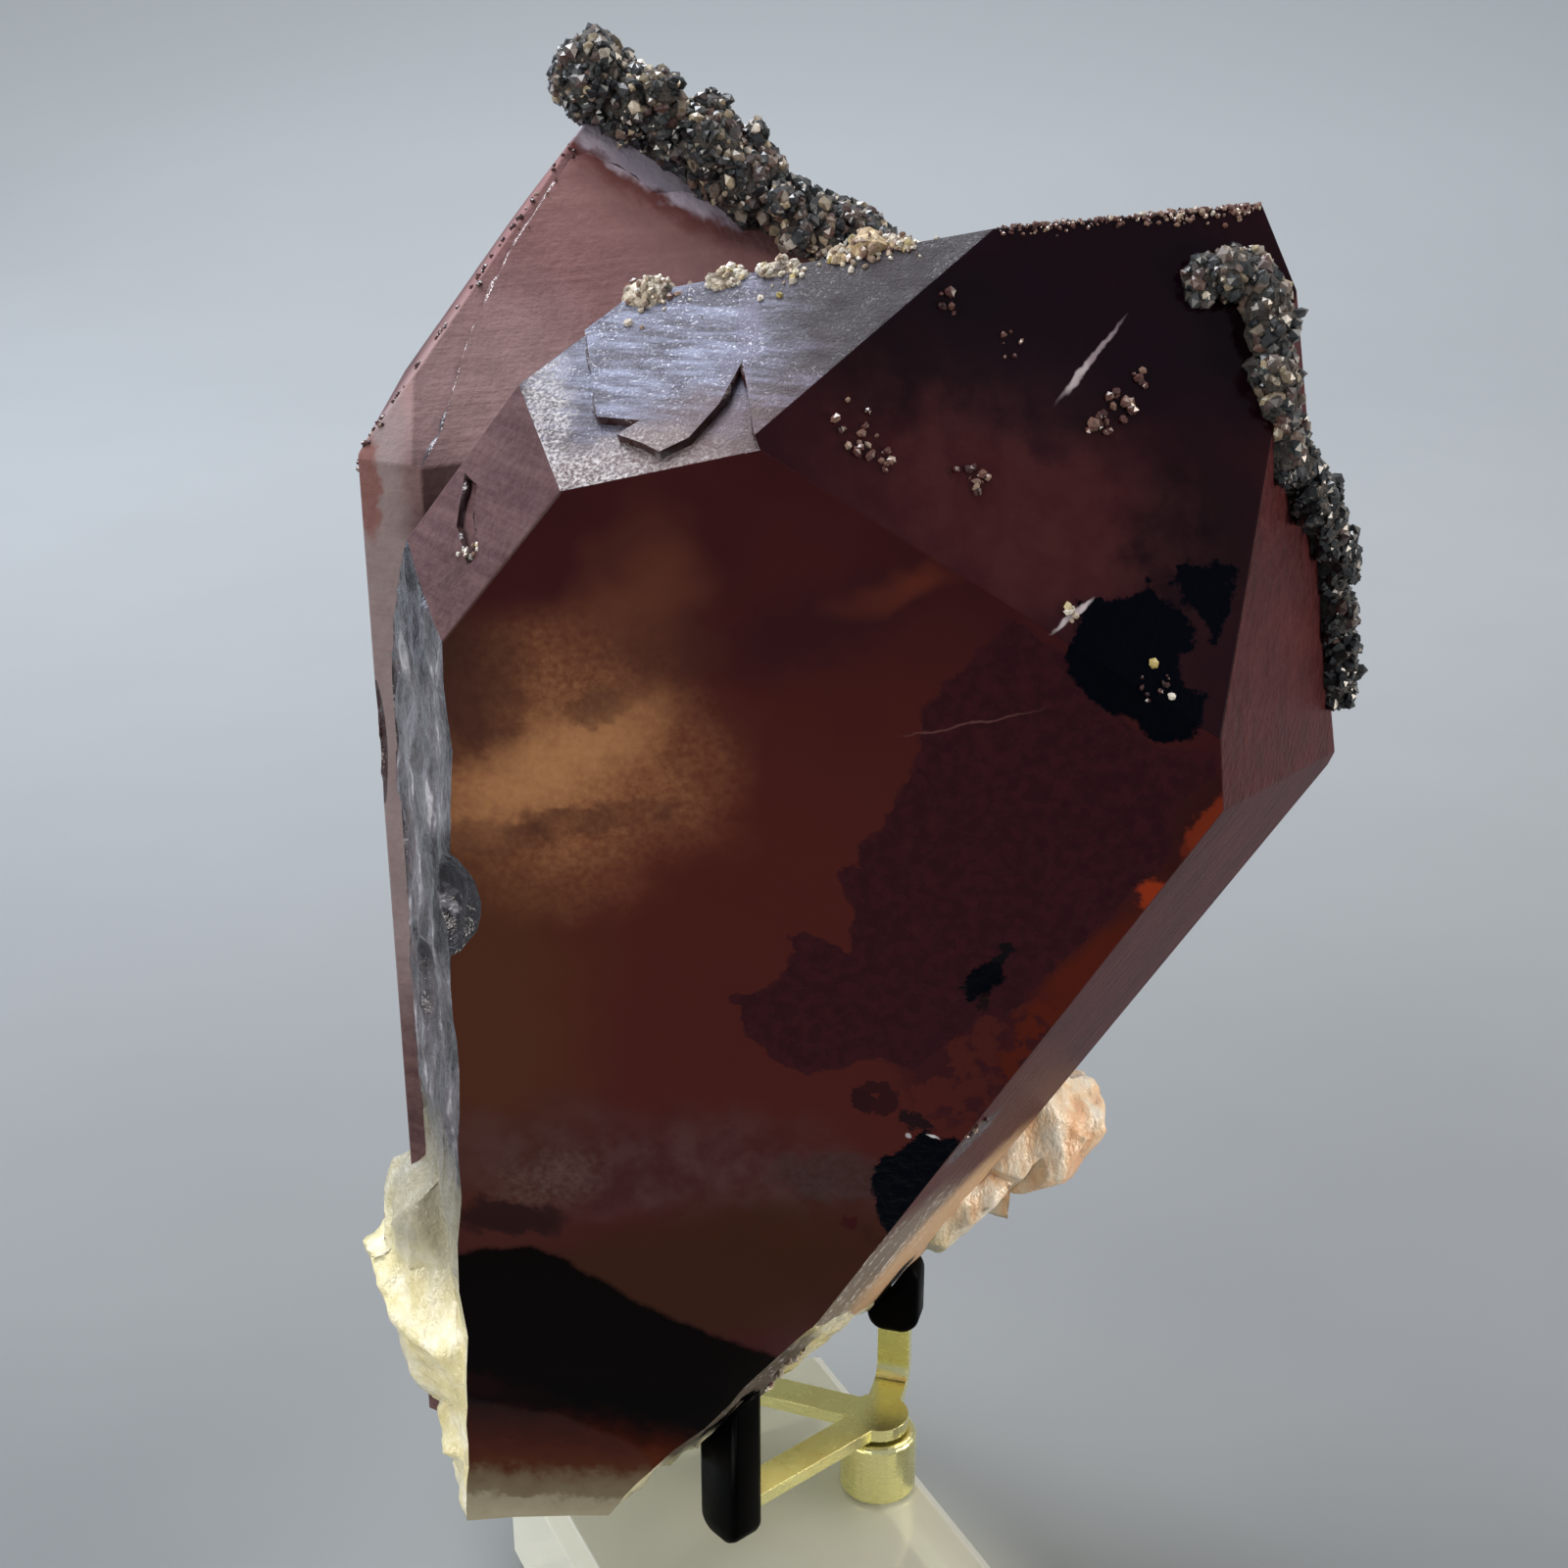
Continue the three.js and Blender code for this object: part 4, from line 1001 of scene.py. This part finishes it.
def drop_grain(bm, at, radius, shade, rng, layer):
    """Adds one small many-sided grain, stretched and turned at random."""
    stretch = Matrix.Diagonal([rng.uniform(0.7, 1.25) for _ in range(3)] + [1])
    turn = Euler([rng.uniform(0, 2 * math.pi) for _ in range(3)])
    matrix = Matrix.Translation(at) @ turn.to_matrix().to_4x4() @ stretch
    made = bmesh.ops.create_icosphere(bm, subdivisions=1, radius=radius, matrix=matrix)
    for vert in made["verts"]:
        vert.co = at.lerp(vert.co, rng.uniform(0.75, 1.2))
        vert[layer] = shade


# In radii of a grain: how far above a crust the room for one is looked at, how far from the
# crystals that place has to be, and how deep the grain sinks.
LOOK_ABOVE, CLEAR_OF, SUNK = 0.4, 0.5, 0.15


def scatter(bm, source, count, radius, rng, keep_off, shades):
    """Drops grains over a surface, a little sunk in, and none where crystals are near."""
    layer = bm.verts.layers.float.get("shade")
    faces = [f for f in source.faces if f.calc_area() > 0]
    weights = [f.calc_area() for f in faces]
    for face in rng.choices(faces, weights, k=count):
        corners = [v.co for v in face.verts][:3]
        shares = [rng.random() for _ in corners]
        at = sum((c * s for c, s in zip(corners, shares)), Vector()) / sum(shares)
        _, _, _, gap = keep_off.find_nearest(at + face.normal * LOOK_ABOVE * radius)
        if gap < CLEAR_OF * radius:
            continue
        size = radius * rng.uniform(0.55, 1.5) ** 1.2
        drop_grain(bm, at - face.normal * SUNK * radius, size, shades(rng, at), rng, layer)


# Longest edge left on a crust's own form, and its relief's height and pitch in millimetres.
CRUST_SIZE = 0.8 * MM
CRUST_RELIEF = (0.16, 1.1)
# Points of a crust's form that are this near to the crystals are laid on them.
LAID_DOWN = 0.55 * MM


def crust_mesh(node, count, radius, seed, shades, crystals):
    """A crust's own form, roughened and laid down onto the crystals, under loose grains."""
    rng = random.Random(seed)
    bm = merged_copy(node)
    refine(bm, CRUST_SIZE)
    bm.normal_update()
    roughen(bm, list(bm.verts), *CRUST_RELIEF)
    for vert in bm.verts:
        place, _, _, gap = crystals.find_nearest(vert.co)
        if gap < LAID_DOWN:
            vert.co = place
    bm.normal_update()
    source = bm.copy()
    for face in bm.faces:
        face.material_index = 1
    bm.verts.layers.float.new("shade")
    scatter(bm, source, count, radius, rng, crystals, shades)
    source.free()
    return bm


# Where small grains grew on the crystals: middle in mm, spread, how many, radius and shade.
# A shade of 0 is black-brown, 0.5 rusty, 0.8 white and 1 yellow.
GRAIN_SPOTS = [
    ((2.7, -8.4, 96.2), 1.2, 10, 0.24, 0.42),
    ((3.4, -8.6, 95.2), 0.8, 6, 0.28, 0.6),
    ((4.5, -8.8, 94.3), 0.8, 9, 0.22, 0.45),
    ((16.4, -3.8, 95.2), 0.9, 12, 0.28, 0.35),
    ((17.9, -2.8, 96.0), 0.8, 12, 0.28, 0.4),
    ((18.7, -1.8, 97.2), 0.5, 6, 0.26, 0.35),
    ((9.3, -7.6, 93.0), 0.9, 14, 0.2, 0.4),
    ((7.6, -3.6, 101.8), 0.9, 6, 0.22, 0.3),
    ((11.3, -3.4, 99.5), 1.2, 6, 0.14, 0.4),
    ((14.8, -9.4, 86.0), 0.7, 5, 0.22, 0.85),
    ((19.2, -9.2, 83.1), 0.1, 2, 0.2, 1.0),
    ((20.2, -9.7, 81.5), 0.1, 2, 0.2, 1.0),
    ((19.6, -9.4, 82.4), 1.0, 10, 0.14, 0.1),
    ((-8.3, 1.2, 101.2), 1.8, 60, 0.2, 0.7),
    ((-3.9, 0.8, 102.4), 1.3, 34, 0.18, 0.8),
    ((-1.0, 0.6, 102.9), 1.6, 44, 0.18, 0.78),
    ((2.8, 0.2, 103.9), 1.6, 60, 0.2, 0.72),
    ((5.4, -0.1, 104.2), 1.4, 40, 0.17, 0.75),
    ((-18.2, -6.0, 88.8), 0.7, 16, 0.14, 0.85),
    ((11.4, -5.5, 50.9), 0.9, 14, 0.18, 0.6),
    ((2.5, -0.5, 25.6), 1.6, 60, 0.22, 0.82),
]
# Edges that are lined with grains: both ends in mm, spread, how many, radius and shade.
GRAIN_EDGES = [
    ((-26.4, 7.6, 90.7), (-21.5, 15.8, 97.8), 1.1, 34, 0.15, 0.35),
    ((-21.5, 15.8, 97.8), (-14.6, 27.2, 107.6), 1.1, 40, 0.15, 0.25),
    ((10.5, -0.7, 105.2), (19.0, 2.6, 105.5), 0.5, 150, 0.12, 0.45),
    ((19.0, 2.6, 105.5), (26.0, 5.3, 105.7), 0.6, 170, 0.15, 0.5),
]


def grains_on(bm, crystals, at, spread, count, radius, shade, rng):
    """Drops grains about a place, each one half sunk in the crystal under it."""
    layer = bm.verts.layers.float.get("shade") or bm.verts.layers.float.new("shade")
    for _ in range(count):
        aim = at() + Vector([rng.gauss(0, 0.5 * spread * MM) for _ in range(3)])
        place, normal, _, _ = crystals.find_nearest(aim)
        size = radius * MM * rng.uniform(0.5, 1.45)
        tone = shade_near(rng, shade, 0.12)
        drop_grain(bm, place + normal * 0.25 * size, size, tone, rng, layer)


def grain_mesh(crystals):
    rng = random.Random(21)
    bm = bmesh.new()
    for middle, *rest in GRAIN_SPOTS:
        grains_on(bm, crystals, lambda: Vector(middle) * MM, *rest, rng)
    for start, end, *rest in GRAIN_EDGES:
        grains_on(bm, crystals, lambda: Vector(start).lerp(Vector(end), rng.random()) * MM,
                  *rest, rng)
    return bm


def shade_near(rng, middle, spread):
    return min(1.0, max(0.0, rng.gauss(middle, spread)))


def rear_shades(rng, at):
    return shade_near(rng, 0.42, 0.26)


def right_shades(rng, at):
    """Tan and pinkish above, black lower down."""
    return shade_near(rng, 0.5 if at.z > 92 * MM else 0.2, 0.22)


# Pieces

def quartz_surface():
    return BVHTree.FromObject(
        bpy.data.objects["stained_quartz"], bpy.context.evaluated_depsgraph_get())


class SPECIMEN_OT_quartz(bpy.types.Operator):
    """Make the quartz crystals with their stains, growth lines and breaks"""
    bl_idname = "specimen.quartz"
    bl_label = "Quartz Crystals"

    def execute(self, context):
        bm = quartz_mesh(context.scene.specimen_quartz)
        finishes = [
            glassy_front(), dark_tip(), striated_tip(), satin_face(), broken_quartz(),
            sugary_quartz(), underside_face(),
            weathered_face("weathered_rear_quartz", REAR_CRYSTAL),
            weathered_face("weathered_front_quartz", FRONT_CRYSTAL),
        ]
        make_piece("stained_quartz", bm, finishes, "stained_quartz", "quartz_crystals")
        return {"FINISHED"}


class SPECIMEN_OT_crusts(bpy.types.Operator):
    """Make both crusts of hematite and small quartz grains"""
    bl_idname = "specimen.crusts"
    bl_label = "Hematite Crusts"

    def execute(self, context):
        settings = context.scene.specimen_crust
        crystals = quartz_surface()
        finishes = [crust_grain(), crust_bed()]
        rows = [
            ("rear_ridge_crust", "hematite_crust_rear_ridge", settings.rear_count, 5,
             rear_shades),
            ("right_edge_crust", "hematite_crust_right_edge", settings.right_count, 9,
             right_shades),
        ]
        for name, node, count, seed, shades in rows:
            bm = crust_mesh(node, count, settings.grain, seed, shades, crystals)
            make_piece(name, bm, finishes, "hematite_crust", node)
        return {"FINISHED"}


class SPECIMEN_OT_grains(bpy.types.Operator):
    """Make the small quartz grains that grew late on the crystals"""
    bl_idname = "specimen.grains"
    bl_label = "Small Grains"

    def execute(self, context):
        make_piece("small_quartz_grains", grain_mesh(quartz_surface()), [small_grain()],
                   "stained_quartz")
        return {"FINISHED"}


class SPECIMEN_OT_block(bpy.types.Operator):
    """Make the clear acrylic block"""
    bl_idname = "specimen.block"
    bl_label = "Acrylic Block"

    def execute(self, context):
        settings = context.scene.specimen_stand
        bm = merged_copy("acrylic_base", 1)
        soften_edges(bm, settings.edge)
        make_piece("clear_block", bm, [clear_acrylic(settings)], "clear_acrylic",
                   "acrylic_base")
        return {"FINISHED"}


class SPECIMEN_OT_brass(bpy.types.Operator):
    """Make the brass post and the three-armed cradle"""
    bl_idname = "specimen.brass"
    bl_label = "Brass Post and Cradle"

    def execute(self, context):
        settings = context.scene.specimen_stand
        finish = polished_brass(settings)
        for name, node in (("brass_post", "brass_hub"), ("brass_arms", "brass_cradle")):
            bm = merged_copy(node, 1)
            soften_edges(bm, settings.edge, 30)
            make_piece(name, bm, [finish], "polished_brass", node)
        return {"FINISHED"}


class SPECIMEN_OT_sleeves(bpy.types.Operator):
    """Make the soft sleeves on the arms' ends"""
    bl_idname = "specimen.sleeves"
    bl_label = "Sleeves"

    def execute(self, context):
        finish = black_rubber()
        for side in ("front", "right", "rear"):
            node = f"rubber_sleeve_{side}"
            bm = merged_copy(node, 1)
            for face in bm.faces:
                face.smooth = True
            make_piece(f"sleeve_{side}", bm, [finish], "black_rubber", node)
        return {"FINISHED"}


# Stage

# Where the camera stands in mm, and its turn up from straight down in degrees
CAMERA_PLACE = (-0.9, -120.5, 121.1)
CAMERA_TILT = 68
# The floor's half side, and the curve that it turns up in behind the specimen
FLOOR_HALF = 3.0
SWEEP_START = 0.45
SWEEP_RADIUS = 0.7
SWEEP_ANGLE = 75
SWEEP_STEPS = 32


def area_light(name, place, aim, size, power, colour):
    """A soft rectangular light that points at a place."""
    lamp = bpy.data.lights.new(name, "AREA")
    lamp.shape = "RECTANGLE"
    lamp.size, lamp.size_y = size
    lamp.energy = power
    lamp.color = linear(colour)[:3]
    light = bpy.data.objects.new(name, lamp)
    light.location = place
    way = Vector(aim) - Vector(place)
    light.rotation_euler = way.to_track_quat("-Z", "Y").to_euler()
    bpy.context.scene.collection.objects.link(light)


class SPECIMEN_OT_stage(bpy.types.Operator):
    """Make the pale floor with its sweep, the soft lights and the camera"""
    bl_idname = "specimen.stage"
    bl_label = "Stage"

    def execute(self, context):
        scene = context.scene
        settings = scene.specimen_stage
        bm = bmesh.new()
        bmesh.ops.create_grid(
            bm, x_segments=1, y_segments=1, size=FLOOR_HALF,
            matrix=Matrix.Translation((0, SWEEP_START - FLOOR_HALF, 0)))
        back = [e for e in bm.edges if all(v.co.y > 0 for v in e.verts)]
        bmesh.ops.spin(
            bm, geom=back, cent=(0, SWEEP_START, SWEEP_RADIUS), axis=(1, 0, 0),
            angle=math.radians(SWEEP_ANGLE), steps=SWEEP_STEPS, use_merge=False)
        bm.normal_update()
        for face in bm.faces:
            face.smooth = True
        mesh = bpy.data.meshes.new("floor")
        bm.to_mesh(mesh)
        bm.free()
        mesh.materials.append(floor_finish(settings))
        floor = bpy.data.objects.new("floor", mesh)
        scene.collection.objects.link(floor)

        world = bpy.data.worlds.new("soft_room")
        scene.world = world
        world.use_nodes = True
        sky = world.node_tree.nodes["Background"].inputs
        sky["Color"].default_value = linear("#ccd1d6")
        sky["Strength"].default_value = 0.55
        area_light("overhead", (-0.16, 0.16, 0.62), (-0.01, 0, 0.09), (0.34, 0.34),
                   settings.key, "#f4f7fc")
        area_light("back_left", (-0.45, 0.35, 0.25), (0, 0, 0.08), (0.3, 0.3), 0.8, "#dfe9ff")
        area_light("low_left", (-0.36, -0.26, 0.12), (0, 0, 0.02), (0.26, 0.2), 1.4, "#fffaf0")
        area_light("low_right", (0.42, -0.08, 0.07), (0, 0, 0.03), (0.2, 0.12), 1.15, "#fff3e4")
        area_light("high_right", (0.34, 0.14, 0.5), (0, 0.01, 0.09), (0.3, 0.3), 0.8, "#fff6ec")

        lens = bpy.data.cameras.new("camera")
        lens.lens = settings.lens
        lens.sensor_width = 36
        lens.clip_start = 0.005
        camera = bpy.data.objects.new("camera", lens)
        camera.location = Vector(CAMERA_PLACE) * MM
        camera.rotation_euler = (math.radians(CAMERA_TILT), 0, 0)
        scene.collection.objects.link(camera)
        scene.camera = camera
        scene.view_settings.view_transform = "Standard"
        return {"FINISHED"}


class SPECIMEN_PT_panel(bpy.types.Panel):
    """Lists the pieces of the specimen and their settings"""
    bl_idname = "SPECIMEN_PT_panel"
    bl_label = "Hematite on Quartz"
    bl_space_type = "VIEW_3D"
    bl_region_type = "UI"
    bl_category = "Specimen"

    def draw(self, context):
        for group, names, steps in PANEL_ROWS:
            box = self.layout.box()
            settings = getattr(context.scene, group)
            for name in names:
                box.prop(settings, name)
            for step in steps:
                box.operator(step)


PANEL_ROWS = [
    ("specimen_quartz", ("edge", "grid", "break_size"), ("specimen.quartz",)),
    ("specimen_crust", ("grain", "rear_count", "right_count"),
     ("specimen.crusts", "specimen.grains")),
    ("specimen_stand", ("edge", "tint", "brass"),
     ("specimen.block", "specimen.brass", "specimen.sleeves")),
    ("specimen_stage", ("floor", "key", "lens"), ("specimen.stage",)),
]
SETTINGS = {
    "specimen_quartz": QuartzSettings,
    "specimen_crust": CrustSettings,
    "specimen_stand": StandSettings,
    "specimen_stage": StageSettings,
}
CLASSES = [
    *SETTINGS.values(), SPECIMEN_OT_quartz, SPECIMEN_OT_crusts, SPECIMEN_OT_grains,
    SPECIMEN_OT_block, SPECIMEN_OT_brass, SPECIMEN_OT_sleeves, SPECIMEN_OT_stage,
    SPECIMEN_PT_panel,
]


def register():
    for each in CLASSES:
        bpy.utils.register_class(each)
    for name, group in SETTINGS.items():
        setattr(bpy.types.Scene, name, PointerProperty(type=group))


def unregister():
    for name in SETTINGS:
        delattr(bpy.types.Scene, name)
    for each in reversed(CLASSES):
        bpy.utils.unregister_class(each)


def main():
    register()
    bpy.ops.specimen.stage()
    bpy.ops.specimen.quartz()
    bpy.ops.specimen.crusts()
    bpy.ops.specimen.grains()
    bpy.ops.specimen.block()
    bpy.ops.specimen.brass()
    bpy.ops.specimen.sleeves()


if __name__ == "__main__":
    main()
